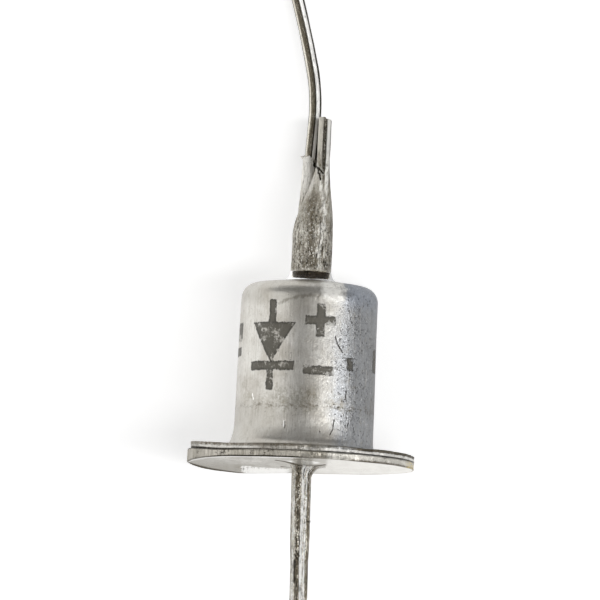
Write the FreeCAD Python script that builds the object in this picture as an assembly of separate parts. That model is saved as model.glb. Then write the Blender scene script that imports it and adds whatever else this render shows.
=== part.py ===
import FreeCAD, Part
import math
import os

from FreeCAD import Matrix, Placement, Rotation, Vector

# A metal-cased rectifier diode with a wire lead at each end, lying on a table.
#
# Every piece is first made in the standing frame: the case's axis is Z, the underside of the base disc is
# at z = 0, the upper lead leaves at the top, X is to the viewer's right and Y points away from the viewer.
# The finished pieces are then laid down: the case rests on the rim of its flange and on the lower corner
# of the crimped tube, with the upper lead towards +Y. All sizes are in millimetres.

# Case: a drawn can welded by its flange to a flat base disc
BASE_DIAMETER = 11.5
BASE_THICKNESS = 0.40
SHEET_THICKNESS = 0.34
FLANGE_SETBACK = 0.10
CAN_TOP_DIAMETER = 6.90
CAN_TAPER = 0.16
CAN_HEIGHT = 8.92
CROWN_RISE = 0.26
SHOULDER_RADIUS = 0.80
ROOT_RADIUS = 0.45
SEAM_CHAMFER = 0.07
HOLE_DIAMETER = 3.10
COLLAR_DEPTH = 0.95

# Glass seal between the can and the tube
GLASS_DEPTH = 0.85
MENISCUS_HEIGHT = 0.52
MENISCUS_LIP = 0.04

# Crystal holder in the middle of the base, and what is stacked on it
PEDESTAL_DIAMETER = 4.80
PEDESTAL_HEIGHT = 0.50
DIE_SIDE = 2.20
DIE_THICKNESS = 0.22
DIE_SOLDER_MARGIN = 0.12
DIE_SOLDER_THICKNESS = 0.06
ELECTRODE_DIAMETER = 0.90
ELECTRODE_HEIGHT = 0.70
ELECTRODE_FOOT_WIDTH = 0.20
ELECTRODE_FOOT_HEIGHT = 0.12
ELECTRODE_SOLDER_HEIGHT = 0.28

# Tube that the upper lead is crimped into
TUBE_DIAMETER = 2.02
TUBE_WALL = 0.30
TUBE_DEPTH = 1.70
CRIMP_START = 2.30
CRIMP_LENGTH = 3.90
CRIMP_OFFSET = 0.355
TONGUE_LENGTH = 2.10
TONGUE_STEP = 0.10
TONGUE_PRESS_GAP = 0.03
SEAM_GROOVE_WIDTH = 0.06
SEAM_GROOVE_DEPTH = 0.13
BORE_STEP = 0.06
BORE_PINCH_LENGTH = 2.60
BORE_END_CLEARANCE = 0.03
INNER_LEAD_GRIP = 0.25
LOBE_OFFSET = -0.29
LOBE_LENGTH = 2.90
LOBE_FOOT_DIAMETER = 1.00
LOBE_TOP_DIAMETER = 0.75
LOBE_TOP_RISE = 0.12
SOCKET_DEPTH = 1.00

# Leads
UPPER_LEAD_DIAMETER = 0.65
UPPER_LEAD_LENGTH = 20.0
UPPER_LEAD_HEADING = 16.5
UPPER_LEAD_PASS = 1.3
UPPER_LEAD_TURN = 4.8
UPPER_LEAD_TURN_SHIFT = 0.95
UPPER_LEAD_TURN_LIFT = 0.66
LOWER_LEAD_DIAMETER = 0.92
LOWER_LEAD_LENGTH = 20.0
LOWER_LEAD_LEAN = 1.1
LOWER_LEAD_FOOT_FLARE = 0.05
LOWER_LEAD_FOOT_LENGTH = 0.95
INNER_LEAD_DIAMETER = 0.40
INNER_LEAD_BOW = 0.16

# Solder cone where the lower lead meets the base
CONE_HEIGHT = 0.90
CONE_SPREAD = 0.55
CONE_TIP = 0.05

# How the crimp's changing section is followed: its steps, and the half flat on each side where it is round
CRIMP_STEPS = 5
LEAST_HALF_FLAT = 0.02

# Heights in the standing frame that follow from the sizes above
BASE_TOP = BASE_THICKNESS
FLANGE_TOP = BASE_TOP + SHEET_THICKNESS
CAN_TOP = BASE_TOP + CAN_HEIGHT
PEDESTAL_TOP = BASE_TOP + PEDESTAL_HEIGHT
DIE_BOTTOM = PEDESTAL_TOP + DIE_SOLDER_THICKNESS
DIE_TOP = DIE_BOTTOM + DIE_THICKNESS
ELECTRODE_TOP = DIE_TOP + ELECTRODE_HEIGHT
TUBE_BOTTOM = CAN_TOP - TUBE_DEPTH
CRIMP_BOTTOM = CAN_TOP + CRIMP_START
CRIMP_TOP = CRIMP_BOTTOM + CRIMP_LENGTH
TONGUE_TOP = CRIMP_TOP + TONGUE_LENGTH

FLANGE_RADIUS = BASE_DIAMETER / 2 - FLANGE_SETBACK
TUBE_RADIUS = TUBE_DIAMETER / 2
HOLE_RADIUS = HOLE_DIAMETER / 2
UPPER_LEAD_RADIUS = UPPER_LEAD_DIAMETER / 2
LOWER_LEAD_RADIUS = LOWER_LEAD_DIAMETER / 2
INNER_LEAD_RADIUS = INNER_LEAD_DIAMETER / 2
UP = Vector(0, 0, 1)


def rounded_outline(corners):
    """A closed flat outline. Each corner is (point, radius), rounded by a tangent arc of that radius."""
    count = len(corners)
    ends = []
    for i, (here, radius) in enumerate(corners):
        back = (corners[i - 1][0] - here).normalize()
        ahead = (corners[(i + 1) % count][0] - here).normalize()
        half = back.getAngle(ahead) / 2
        reach = radius / math.tan(half)
        middle = here + (back + ahead).normalize() * (radius / math.sin(half) - radius)
        ends.append((here + back * reach, middle, here + ahead * reach, radius))
    edges = []
    for i, (start, middle, end, radius) in enumerate(ends):
        if radius > 0:
            edges.append(Part.Arc(start, middle, end).toShape())
        following = ends[(i + 1) % count][0]
        if end.distanceToPoint(following) > 1e-7:
            edges.append(Part.LineSegment(end, following).toShape())
    return Part.Wire(edges)


def turned(corners):
    """A solid of revolution about Z. Each corner is (distance from the axis, height, radius)."""
    outline = rounded_outline([(Vector(x, 0, z), radius) for x, z, radius in corners])
    return Part.Face(outline).revolve(Vector(0, 0, 0), UP, 360)


def rounded_route(points):
    """Straight runs through the points, joined by tangent arcs as large as the shorter run allows."""
    edges = []
    reached = points[0]
    for before, here, after in zip(points, points[1:], points[2:]):
        back = (before - here).normalize()
        ahead = (after - here).normalize()
        half = back.getAngle(ahead) / 2
        reach = 0.45 * min(before.distanceToPoint(here), here.distanceToPoint(after))
        radius = reach * math.tan(half)
        middle = here + (back + ahead).normalize() * (radius / math.sin(half) - radius)
        edges.append(Part.LineSegment(reached, here + back * reach).toShape())
        edges.append(Part.Arc(here + back * reach, middle, here + ahead * reach).toShape())
        reached = here + ahead * reach
    edges.append(Part.LineSegment(reached, points[-1]).toShape())
    return Part.Wire(edges)


def wire_along(points, radius):
    """A round wire that follows a route of points."""
    route = rounded_route(points)
    circle = Part.Circle(points[0], points[1] - points[0], radius).toShape()
    return route.makePipeShell([Part.Wire(circle)], True, False)


def make_base():
    """Base disc with the raised crystal holder in its middle."""
    rim = BASE_DIAMETER / 2
    pedestal = PEDESTAL_DIAMETER / 2
    return turned(
        [
            (0, 0, 0),
            (rim, 0, 0),
            (rim, BASE_TOP - SEAM_CHAMFER, 0),
            (rim - SEAM_CHAMFER, BASE_TOP, 0),
            (pedestal, BASE_TOP, 0),
            (pedestal, PEDESTAL_TOP, 0),
            (0, PEDESTAL_TOP, 0),
        ]
    )


def make_can():
    """Drawn can: flange, wall that thickens towards its root, domed crown, collar turned in at the hole."""
    top = CAN_TOP_DIAMETER / 2
    root = top + CAN_TAPER / 2
    rim = FLANGE_RADIUS
    crown_edge = CAN_TOP - CROWN_RISE
    crown_slope = CROWN_RISE / (top - HOLE_RADIUS)
    collar = HOLE_RADIUS + SHEET_THICKNESS
    under_crown = CAN_TOP - SHEET_THICKNESS - crown_slope * SHEET_THICKNESS
    inner_bend = SHOULDER_RADIUS - SHEET_THICKNESS
    return turned(
        [
            (HOLE_RADIUS, CAN_TOP, 0),
            (top, crown_edge, SHOULDER_RADIUS),
            (root, FLANGE_TOP, ROOT_RADIUS),
            (rim, FLANGE_TOP, 0),
            (rim, BASE_TOP + SEAM_CHAMFER, 0),
            (rim - SEAM_CHAMFER, BASE_TOP, 0),
            (root, BASE_TOP, 0),
            (top - SHEET_THICKNESS, BASE_TOP + SHEET_THICKNESS, 0),
            (top - SHEET_THICKNESS, crown_edge - SHEET_THICKNESS - inner_bend / 2, 0),
            (top - SHEET_THICKNESS - inner_bend / 2, crown_edge - SHEET_THICKNESS, 0),
            (collar + SHEET_THICKNESS / 2, under_crown, 0),
            (collar, under_crown - SHEET_THICKNESS / 2, 0),
            (collar, CAN_TOP - COLLAR_DEPTH, 0),
            (HOLE_RADIUS, CAN_TOP - COLLAR_DEPTH, 0),
        ]
    )


def make_glass_bead():
    """Glass that fills the collar around the tube and climbs the tube in a hollow meniscus."""
    bottom = CAN_TOP - GLASS_DEPTH
    foot = Vector(HOLE_RADIUS, 0, CAN_TOP)
    lip = Vector(TUBE_RADIUS + MENISCUS_LIP, 0, CAN_TOP + MENISCUS_HEIGHT)
    sag = 0.16 * foot.distanceToPoint(lip)
    inward = Vector(foot.z - lip.z, 0, lip.x - foot.x).normalize()
    hollow = (foot + lip) / 2 + inward * sag
    outer_bottom = Vector(HOLE_RADIUS, 0, bottom)
    edges = [
        Part.LineSegment(Vector(0, 0, bottom), outer_bottom),
        Part.LineSegment(outer_bottom, foot),
        Part.Arc(foot, hollow, lip),
        Part.LineSegment(lip, Vector(0, 0, lip.z)),
        Part.LineSegment(Vector(0, 0, lip.z), Vector(0, 0, bottom)),
    ]
    outline = Part.Wire([edge.toShape() for edge in edges])
    return Part.Face(outline).revolve(Vector(0, 0, 0), UP, 360).cut(tube_bar())


def flattening(z):
    """How far the tube is flattened at height z: 0 where it is round, 1 where its walls are pressed."""
    share = min(1.0, max(0.0, (z - CRIMP_BOTTOM) / CRIMP_LENGTH))
    return share * share * (3 - 2 * share)


def tongue_half_thickness():
    """Half the thickness of the two tube walls pressed together."""
    return TUBE_WALL + TONGUE_PRESS_GAP / 2


def half_flat(z):
    """Half the flat on each side of the tube at height z, from the outside's length staying the same."""
    pressed = math.pi / 2 * (TUBE_RADIUS - tongue_half_thickness())
    return LEAST_HALF_FLAT + (pressed - LEAST_HALF_FLAT) * flattening(z)


def tongue_half_width():
    """Half the width of the tongue."""
    return half_flat(CRIMP_TOP) + tongue_half_thickness()


def tube_outline(z):
    """Outline of the tube at height z: two flat sides joined by half circles, almost a circle at first."""
    centre = CRIMP_OFFSET * flattening(z)
    radius = TUBE_RADIUS + (tongue_half_thickness() - TUBE_RADIUS) * flattening(z)
    flat = half_flat(z)
    right_front, right_back = Vector(centre + radius, -flat, z), Vector(centre + radius, flat, z)
    left_front, left_back = Vector(centre - radius, -flat, z), Vector(centre - radius, flat, z)
    edges = [
        Part.LineSegment(right_front, right_back),
        Part.Arc(right_back, Vector(centre, flat + radius, z), left_back),
        Part.LineSegment(left_back, left_front),
        Part.Arc(left_front, Vector(centre, -flat - radius, z), right_front),
    ]
    return Part.Wire([edge.toShape() for edge in edges])


def tube_bar():
    """The tube's outside as a solid bar: its round stretch, the crimp and the flat tongue."""
    heights = [CRIMP_BOTTOM + CRIMP_LENGTH * i / CRIMP_STEPS for i in range(CRIMP_STEPS + 1)]
    crimp = Part.makeLoft([tube_outline(z) for z in heights], True)
    round_stretch = Part.Face(tube_outline(CRIMP_BOTTOM)).extrude(UP * (TUBE_BOTTOM - CRIMP_BOTTOM))
    tongue = Part.Face(tube_outline(CRIMP_TOP)).extrude(UP * TONGUE_LENGTH)
    return crimp.fuse(round_stretch).fuse(tongue)


def bore_end():
    """Middle of the bore's pinched end, where the tube grips the inner lead."""
    z = CRIMP_BOTTOM + BORE_PINCH_LENGTH
    return Vector(CRIMP_OFFSET * flattening(z), 0, z)


def tube_bore():
    """The tube's bore: round at first, then pinched towards the inner lead."""
    radius = TUBE_RADIUS - TUBE_WALL
    round_stretch = Part.makeCylinder(radius, CRIMP_BOTTOM - TUBE_BOTTOM, Vector(0, 0, TUBE_BOTTOM), UP)
    start = Vector(0, 0, CRIMP_BOTTOM - BORE_STEP)
    way = bore_end() - start
    end_radius = INNER_LEAD_RADIUS + BORE_END_CLEARANCE
    pinch = Part.makeCone(radius - BORE_STEP, end_radius, way.Length, start, way)
    return round_stretch.fuse(pinch)


def lobe_axis_point(z):
    """Point on the axis of the stretch of the upper lead that is held in the crimp."""
    return Vector(LOBE_OFFSET, 0, z)


def seam_groove():
    """Narrow slot along the edges and the end of the tongue, where the two pressed walls meet."""
    half_width = tongue_half_width()
    outer = Part.makeBox(
        SEAM_GROOVE_WIDTH,
        4 * half_width,
        2 * TONGUE_LENGTH,
        Vector(CRIMP_OFFSET - SEAM_GROOVE_WIDTH / 2, -2 * half_width, CRIMP_TOP - TONGUE_LENGTH / 6),
    )
    core = Part.makeBox(
        3 * SEAM_GROOVE_WIDTH,
        2 * (half_width - SEAM_GROOVE_DEPTH),
        4 * TONGUE_LENGTH,
        Vector(
            CRIMP_OFFSET - 1.5 * SEAM_GROOVE_WIDTH,
            SEAM_GROOVE_DEPTH - half_width,
            TONGUE_TOP - SEAM_GROOVE_DEPTH - 4 * TONGUE_LENGTH,
        ),
    )
    return outer.cut(core)


def make_crimped_tube(upper_lead, inner_lead):
    """Tube sealed in the glass, pressed flat above it, with a lobe on one side for the upper lead."""
    outside = tube_bar()
    bore = tube_bore()
    lobe = Part.makeCone(
        LOBE_FOOT_DIAMETER / 2,
        LOBE_TOP_DIAMETER / 2,
        LOBE_LENGTH,
        lobe_axis_point(CRIMP_TOP + LOBE_TOP_RISE - LOBE_LENGTH),
        UP,
    )
    step = Part.makeBox(
        2 * TUBE_DIAMETER,
        4 * TUBE_DIAMETER,
        TONGUE_LENGTH,
        Vector(CRIMP_OFFSET, -2 * TUBE_DIAMETER, TONGUE_TOP - TONGUE_STEP),
    )
    tube = outside.fuse(lobe)
    for tool in (bore, upper_lead, inner_lead, step, seam_groove()):
        tube = tube.cut(tool)
    return tube


def resting_tilt():
    """Angle in degrees between the case's axis and the table, resting on a rim and the tongue's corner."""
    rims = [(BASE_DIAMETER / 2, BASE_TOP - SEAM_CHAMFER), (FLANGE_RADIUS, FLANGE_TOP)]
    corner = tongue_half_width()
    return max(math.degrees(math.atan2(radius - corner, TONGUE_TOP - z)) for radius, z in rims)


def resting_height():
    """Height above the table of the standing frame's origin, once the case is laid down."""
    tilt = math.radians(resting_tilt())
    return tongue_half_width() * math.cos(tilt) + TONGUE_TOP * math.sin(tilt)


def laid_down():
    """Placement that takes the standing frame to a case lying on the table, its upper lead towards +Y."""
    return Placement(Vector(0, 0, resting_height()), Rotation(Vector(1, 0, 0), -90 - resting_tilt()))


def above_table(x, z, height):
    """Point of the standing frame at x and z that ends up at a given height above the table."""
    tilt = math.radians(resting_tilt())
    return Vector(x, (resting_height() - height - z * math.sin(tilt)) / math.cos(tilt), z)


def upper_lead_points():
    """Route of the upper lead: out of the crimp, past the tongue, then away left, down onto the table."""
    socket_bottom = CRIMP_TOP - SOCKET_DEPTH
    points = [
        lobe_axis_point(socket_bottom),
        lobe_axis_point(CRIMP_TOP + 0.15),
        Vector(-UPPER_LEAD_RADIUS / 3, 0, TONGUE_TOP + UPPER_LEAD_PASS),
        above_table(-UPPER_LEAD_TURN_SHIFT, TONGUE_TOP + UPPER_LEAD_TURN, UPPER_LEAD_TURN_LIFT),
    ]
    used = sum(a.distanceToPoint(b) for a, b in zip(points[1:], points[2:]))
    left = UPPER_LEAD_LENGTH - used
    heading = math.radians(UPPER_LEAD_HEADING)
    tip_x = points[-1].x - left * math.sin(heading)
    tip_z = points[-1].z + left * math.cos(heading) * math.cos(math.radians(resting_tilt()))
    points.append(above_table(tip_x, tip_z, UPPER_LEAD_RADIUS))
    return points


def make_lower_lead():
    """Lower lead: a straight wire on a tapered foot, leaning a little to the right, flush with the base."""
    lean = math.radians(LOWER_LEAD_LEAN)
    down = Vector(math.sin(lean), 0, -math.cos(lean))
    wide = LOWER_LEAD_RADIUS + LOWER_LEAD_FOOT_FLARE / 2
    slope = (wide - LOWER_LEAD_RADIUS) / LOWER_LEAD_FOOT_LENGTH
    cone_length = wide + LOWER_LEAD_FOOT_LENGTH
    foot = Part.makeCone(wide * (1 + slope), LOWER_LEAD_RADIUS, cone_length, down * -wide, down)
    wire_length = LOWER_LEAD_LENGTH - LOWER_LEAD_FOOT_LENGTH
    wire = Part.makeCylinder(LOWER_LEAD_RADIUS, wire_length, down * LOWER_LEAD_FOOT_LENGTH, down)
    above = Part.makeBox(4 * wide, 4 * wide, 2 * wide, Vector(-2 * wide, -2 * wide, 0))
    return wire.fuse(foot).cut(above)


def inner_lead_points():
    """Route of the inner lead: off the electrode, bowed out for slack, then up the tube into the crimp."""
    return [
        Vector(0, 0, ELECTRODE_TOP),
        Vector(-INNER_LEAD_BOW, 0, ELECTRODE_TOP + 0.9 * (TUBE_BOTTOM - ELECTRODE_TOP)),
        bore_end() + UP * INNER_LEAD_GRIP,
    ]


def make_lower_solder(lower_lead):
    """Solder cone around the foot of the lower lead, against the base's underside."""
    wide = LOWER_LEAD_RADIUS + CONE_SPREAD
    tip = LOWER_LEAD_RADIUS + CONE_TIP
    return Part.makeCone(wide, tip, CONE_HEIGHT, Vector(0, 0, 0), -UP).cut(lower_lead)


def square_plate(side, bottom, thickness):
    """Square plate centred on the case's axis."""
    return Part.makeBox(side, side, thickness, Vector(-side / 2, -side / 2, bottom))


def make_electrode():
    """Aluminium column alloyed into the crystal, with a flared foot."""
    radius = ELECTRODE_DIAMETER / 2
    return turned(
        [
            (0, DIE_TOP, 0),
            (radius + ELECTRODE_FOOT_WIDTH, DIE_TOP, 0),
            (radius, DIE_TOP + ELECTRODE_FOOT_HEIGHT, 0),
            (radius, ELECTRODE_TOP, 0),
            (0, ELECTRODE_TOP, 0),
        ]
    )


def make_electrode_solder(inner_lead):
    """Solder cone that joins the inner lead's foot to the top of the electrode."""
    radius = ELECTRODE_DIAMETER / 2
    tip = 1.2 * INNER_LEAD_RADIUS
    cone = Part.makeCone(radius, tip, ELECTRODE_SOLDER_HEIGHT, Vector(0, 0, ELECTRODE_TOP), UP)
    return cone.cut(inner_lead)


def make_pieces():
    """All the pieces in the standing frame, by name."""
    upper_lead = wire_along(upper_lead_points(), UPPER_LEAD_RADIUS)
    lower_lead = make_lower_lead()
    under_inner_lead = square_plate(DIE_SIDE, 0, ELECTRODE_TOP)
    inner_lead = wire_along(inner_lead_points(), INNER_LEAD_RADIUS).cut(under_inner_lead)
    return {
        "base_disc": make_base(),
        "can": make_can(),
        "glass_bead": make_glass_bead(),
        "crimped_tube": make_crimped_tube(upper_lead, inner_lead),
        "upper_lead": upper_lead,
        "lower_lead": lower_lead,
        "lower_lead_solder": make_lower_solder(lower_lead),
        "die_solder": square_plate(DIE_SIDE + 2 * DIE_SOLDER_MARGIN, PEDESTAL_TOP, DIE_SOLDER_THICKNESS),
        "silicon_die": square_plate(DIE_SIDE, DIE_BOTTOM, DIE_THICKNESS),
        "aluminium_electrode": make_electrode(),
        "electrode_solder": make_electrode_solder(inner_lead),
        "inner_lead": inner_lead,
    }


def row_placement(pieces):
    """Placement from the standing frame to the final one: laid down, then centred over the origin."""
    placement = laid_down()
    box = FreeCAD.BoundBox()
    for shape in pieces.values():
        box.add(shape.transformed(placement.toMatrix()).optimalBoundingBox(False, False))
    shift = Matrix()
    shift.move(Vector(-box.Center.x, -box.Center.y, -box.ZMin))
    return Placement(shift).multiply(placement)


def main():
    os.makedirs("parts", exist_ok=True)
    pieces = make_pieces()
    placement = row_placement(pieces)
    for name, shape in pieces.items():
        shape.transformed(placement.toMatrix(), True).exportStep(f"parts/{name}.step")
    return pieces, placement


PIECES, PLACEMENT = main()
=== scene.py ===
import math

import bpy
import numpy as np
from mathutils import Matrix, Vector, noise


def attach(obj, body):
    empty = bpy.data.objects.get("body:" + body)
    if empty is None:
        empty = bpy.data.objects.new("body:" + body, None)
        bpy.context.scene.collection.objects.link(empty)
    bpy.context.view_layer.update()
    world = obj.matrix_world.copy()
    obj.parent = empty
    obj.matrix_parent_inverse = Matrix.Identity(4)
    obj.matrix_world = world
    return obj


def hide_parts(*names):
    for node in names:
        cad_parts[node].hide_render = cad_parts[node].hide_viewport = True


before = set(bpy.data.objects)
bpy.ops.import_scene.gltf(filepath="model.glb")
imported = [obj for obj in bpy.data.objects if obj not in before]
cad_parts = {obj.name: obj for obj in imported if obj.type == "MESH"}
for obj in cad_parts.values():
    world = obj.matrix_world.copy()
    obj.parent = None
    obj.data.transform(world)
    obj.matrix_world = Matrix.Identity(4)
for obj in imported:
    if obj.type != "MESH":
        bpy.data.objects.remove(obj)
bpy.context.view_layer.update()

# Every piece is shaped in the standing frame, in millimetres: Z is the case's axis, z = 0 is the underside
# of the base disc, X is to the viewer's right and -Y is towards the viewer. The pieces are then laid down.
TILT = 14.110643
LAID_ORIGIN = (0.0, -7.468723, 5.659930)

# Case
BASE_RADIUS = 5.75
BASE_TOP = 0.40
SHEET = 0.34
FLANGE_RADIUS = 5.65
FLANGE_TOP = 0.74
CAN_ROOT_RADIUS = 3.53
CAN_TOP_RADIUS = 3.45
CAN_TOP = 9.32
CROWN_RISE = 0.26
SHOULDER_RADIUS = 0.80
ROOT_RADIUS = 0.45
HOLE_RADIUS = 1.55
COLLAR_DEPTH = 0.95
SEAM_CHAMFER = 0.06
RIM_ROUNDING = 0.05
BASE_SHIFT = 0.07
PEDESTAL_RADIUS = 2.40
PEDESTAL_TOP = 0.90
UNDERSIDE = 0.05

# Wear and hand work on the case: how far each moves the surface
OUT_OF_ROUND = 0.016
ROOT_FLARE = 0.12
ROOT_FLARE_LEAN = 0.10
CAN_RIM_SHEAR = 0.028
CAN_RIM_LUMPS = 0.035
CAN_RIM_SETBACK = 0.02
BASE_RIM_SHEAR = 0.022
BASE_RIM_LUMPS = 0.028
BASE_RIM_SETBACK = 0.03
SWIRL_RELIEF = 0.022
FLANGE_CURL = 0.26
FLANGE_SAG = 0.20

# Added to a distance where a mark must not show
FAR = 9.0

# Glass seal
GLASS_DEPTH = 0.85
MENISCUS_HEIGHT = 0.52
MENISCUS_WAVE = 0.02
GLASS_OVERLAP = 0.06

# Crimped tube
TUBE_RADIUS = 1.01
TUBE_BOTTOM = 7.62
OXIDE_TOP = 9.79
CRIMP_BOTTOM = 11.62
CRIMP_TOP = 15.52
TONGUE_TOP = 17.62
TONGUE_STEP = 0.10
CRIMP_OFFSET = 0.355
TONGUE_HALF_X = 0.315
SEAM_X = CRIMP_OFFSET + 0.03
CAP_SHARES = (0.93, 0.80, 0.6, 0.4, 0.2)
LEAST_HALF_FLAT = 0.02
LOBE_X = -0.29
LOBE_TOP = 15.64
LOBE_FOOT = 12.74
LOBE_FOOT_RADIUS = 0.50
LOBE_TOP_RADIUS = 0.375

# Leads
UPPER_LEAD_RADIUS = 0.325
LOWER_LEAD_RADIUS = 0.46
LOWER_LEAD_LENGTH = 20.0
UPPER_END_ROUNDING = 0.05
LOWER_END_ROUNDING = 0.06
BEND_X = -0.95
BEND_RISE = 4.8
BEND_ABOVE_TABLE = 0.66
LOWER_LEAD_LEAN = 1.1
CONE_HEIGHT = 0.90
CONE_SPREAD = 0.78
TINNING = 0.04
NICK_PLACE = 2.78
NICK_HALF_WIDTH = 0.05
NICK_HEIGHT = 0.03

# Tip of the upper lead on the table, in the row frame in metres
UPPER_LEAD_TIP = (-0.0046744, 0.0268809, 0.0003250)

# View: the frame's width and its centre in millimetres, and how the camera looks
FRAME_WIDTH = 30.33
FRAME_CENTRE = (-0.49, 0.0, 8.405)
CAMERA_DISTANCE = 320.0
CAMERA_BELOW = 5.4
CAMERA_ROLL = 2.7

# Light: brightness of the surroundings, and how far the table is lifted towards white for the camera, and in
# reflections beside the case and below its flange
SURROUNDINGS = 0.31
FLOOR_LIFT = 0.46
LEFT_LIFT = 0.60
FLANGE_LIFT = 0.60
CASE_END = -0.0080
FLOOR_WHITE = (0.90, 0.90, 0.90, 1)
FLOOR_HALF = 2.0

# Columns of mesh round each piece. Those of the can and the base disc keep them under 200,000 triangles
RING_COLUMNS = 436
GLASS_COLUMNS = 160
TUBE_COLUMNS = 200
LOBE_COLUMNS = 96
UPPER_LEAD_COLUMNS = 60
LOWER_LEAD_COLUMNS = 72
CONE_COLUMNS = 144

# Spacing of the rows of mesh along an outline or a wire
CAN_SPACING = 0.075
INNER_SPACING = 0.8
BASE_SPACING = 0.06
WIRE_SPACING = 0.07


def laid_rotation():
    """Rotation from the standing frame to the case lying on the table."""
    return np.array(Matrix.Rotation(math.radians(-90 - TILT), 3, "X"))


def to_row(points):
    """Points of the standing frame, in millimetres, as points of the row frame, in metres."""
    return (np.asarray(points, float) @ laid_rotation().T + np.array(LAID_ORIGIN)) / 1000


def to_standing(point):
    """Point of the row frame, in metres, as a point of the standing frame, in millimetres."""
    moved = np.asarray(point, float) * 1000 - np.array(LAID_ORIGIN)
    return tuple(moved @ laid_rotation())


def smooth(values, low, high):
    """Smooth step from 0 at low to 1 at high."""
    t = np.clip((np.asarray(values, float) - low) / (high - low), 0, 1)
    return t * t * (3 - 2 * t)


def wobble(points, scale, seed=0.0):
    """Smooth noise from -1 to 1 at each point. scale is one number or one for each axis."""
    scaled = np.asarray(points, float) * np.asarray(scale, float) + seed
    return np.array([noise.noise(Vector(p)) for p in scaled]) * 1.6


def rounded_profile(corners, spacing, closed=True):
    """Points about spacing apart on an outline of (radius, height, rounding) corners with tangent arcs."""
    count = len(corners)
    pieces = []
    for i, (r, z, rounding) in enumerate(corners):
        here = Vector((r, z))
        back = Vector(corners[i - 1][:2]) - here
        ahead = Vector(corners[(i + 1) % count][:2]) - here
        back.normalize()
        ahead.normalize()
        if rounding <= 0:
            pieces.append([here])
            continue
        half = back.angle(ahead) / 2
        reach = rounding / math.tan(half)
        middle = (back + ahead).normalized()
        centre = here + middle * (rounding / math.sin(half))
        start = here + back * reach - centre
        turn = math.pi - 2 * half
        side = 1 if back.x * ahead.y - back.y * ahead.x > 0 else -1
        steps = max(4, int(rounding * turn / spacing) + 1)
        arc = []
        for k in range(steps + 1):
            a = -side * turn * k / steps
            arc.append(centre + Vector((start.x * math.cos(a) - start.y * math.sin(a),
                                        start.x * math.sin(a) + start.y * math.cos(a))))
        pieces.append(arc)
    points = []
    for i, piece in enumerate(pieces):
        points.extend(piece)
        if i + 1 == count and not closed:
            break
        following = pieces[(i + 1) % count][0]
        gap = (following - piece[-1]).length
        for k in range(1, int(gap / spacing)):
            points.append(piece[-1].lerp(following, k / int(gap / spacing)))
    kept = [points[0]]
    for p in points[1:]:
        if (p - kept[-1]).length > 1e-6:
            kept.append(p)
    return np.array([tuple(p) for p in kept])


def grid_faces(rows, columns, wrap_rows):
    """Quads of a grid whose columns wrap round; its rows wrap too for a closed ring of rows."""
    last = rows if wrap_rows else rows - 1
    r = np.arange(last)[:, None]
    c = np.arange(columns)[None, :]
    a = r * columns + c
    b = r * columns + (c + 1) % columns
    d = ((r + 1) % rows) * columns + c
    e = ((r + 1) % rows) * columns + (c + 1) % columns
    return np.stack([a, d, e, b], -1).reshape(-1, 4)


def around(points):
    """Distance from the axis, angle from the front, and height of each point."""
    return np.hypot(points[:, 0], points[:, 1]), np.arctan2(points[:, 0], -points[:, 1]), points[:, 2]


def widen(points, r, grow):
    """Moves points away from the axis by grow."""
    points[:, :2] *= (1 + grow / np.maximum(r, 0.1))[:, None]


def shear_lines(turn, z, stretch, fineness, seed):
    """Upright burr lines of a sheared rim."""
    return wobble(np.stack([np.cos(turn), np.sin(turn), z * stretch], -1), fineness, seed)


def hollow(foot, corner, tip, count):
    """Points of a curve from foot to tip, drawn towards the corner."""
    foot, corner, tip = np.array(foot), np.array(corner), np.array(tip)
    t = np.linspace(0, 1, count)[:, None]
    return [tuple(p) for p in (1 - t) ** 2 * foot + 2 * t * (1 - t) * corner + t ** 2 * tip]


def make_piece(name, points, faces, material, attributes=None):
    """Mesh object from points of the standing frame, kept as the attribute std for the materials."""
    mesh = bpy.data.meshes.new(name)
    mesh.from_pydata(to_row(points).tolist(), [], [tuple(int(i) for i in f) for f in faces])
    mesh.validate()
    std = mesh.attributes.new("std", "FLOAT_VECTOR", "POINT")
    std.data.foreach_set("vector", np.asarray(points, np.float32).ravel())
    for key, values in (attributes or {}).items():
        values = np.asarray(values, np.float32)
        kind, field = ("FLOAT_VECTOR", "vector") if values.ndim == 2 else ("FLOAT", "value")
        mesh.attributes.new(key, kind, "POINT").data.foreach_set(field, values.ravel())
    mesh.polygons.foreach_set("use_smooth", [True] * len(mesh.polygons))
    mesh.materials.append(material)
    piece = bpy.data.objects.new(name, mesh)
    bpy.context.scene.collection.objects.link(piece)
    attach(piece, "root")
    return piece


def revolve(profile, columns):
    """Points and faces of a profile turned about Z."""
    angles = np.arange(columns) * 2 * math.pi / columns - math.pi / 2
    r, z = profile[:, 0], profile[:, 1]
    points = np.stack([
        r[:, None] * np.cos(angles)[None, :],
        r[:, None] * np.sin(angles)[None, :],
        np.repeat(z[:, None], columns, 1),
    ], -1).reshape(-1, 3)
    return points, grid_faces(len(profile), columns, True)


# Node helpers


class Value:
    """An output of a shader's node. Arithmetic with it adds further nodes."""

    def __init__(self, shader, socket):
        self.shader = shader
        self.socket = socket

    def __add__(self, other):
        return self.shader.math("ADD", self, other)

    def __sub__(self, other):
        return self.shader.math("SUBTRACT", self, other)

    def __rsub__(self, other):
        return self.shader.math("SUBTRACT", other, self)

    def __mul__(self, other):
        return self.shader.math("MULTIPLY", self, other)

    def __truediv__(self, other):
        return self.shader.math("DIVIDE", self, other)

    def __abs__(self):
        return self.shader.math("ABSOLUTE", self)

    __radd__ = __add__
    __rmul__ = __mul__


def largest(first, *others):
    """The largest of a node's output and others."""
    for other in others:
        first = first.shader.math("MAXIMUM", first, other)
    return first


def root(value):
    """The square root, and 0 where the value is below 0."""
    return value.shader.math("SQRT", largest(value, 0.0))


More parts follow.
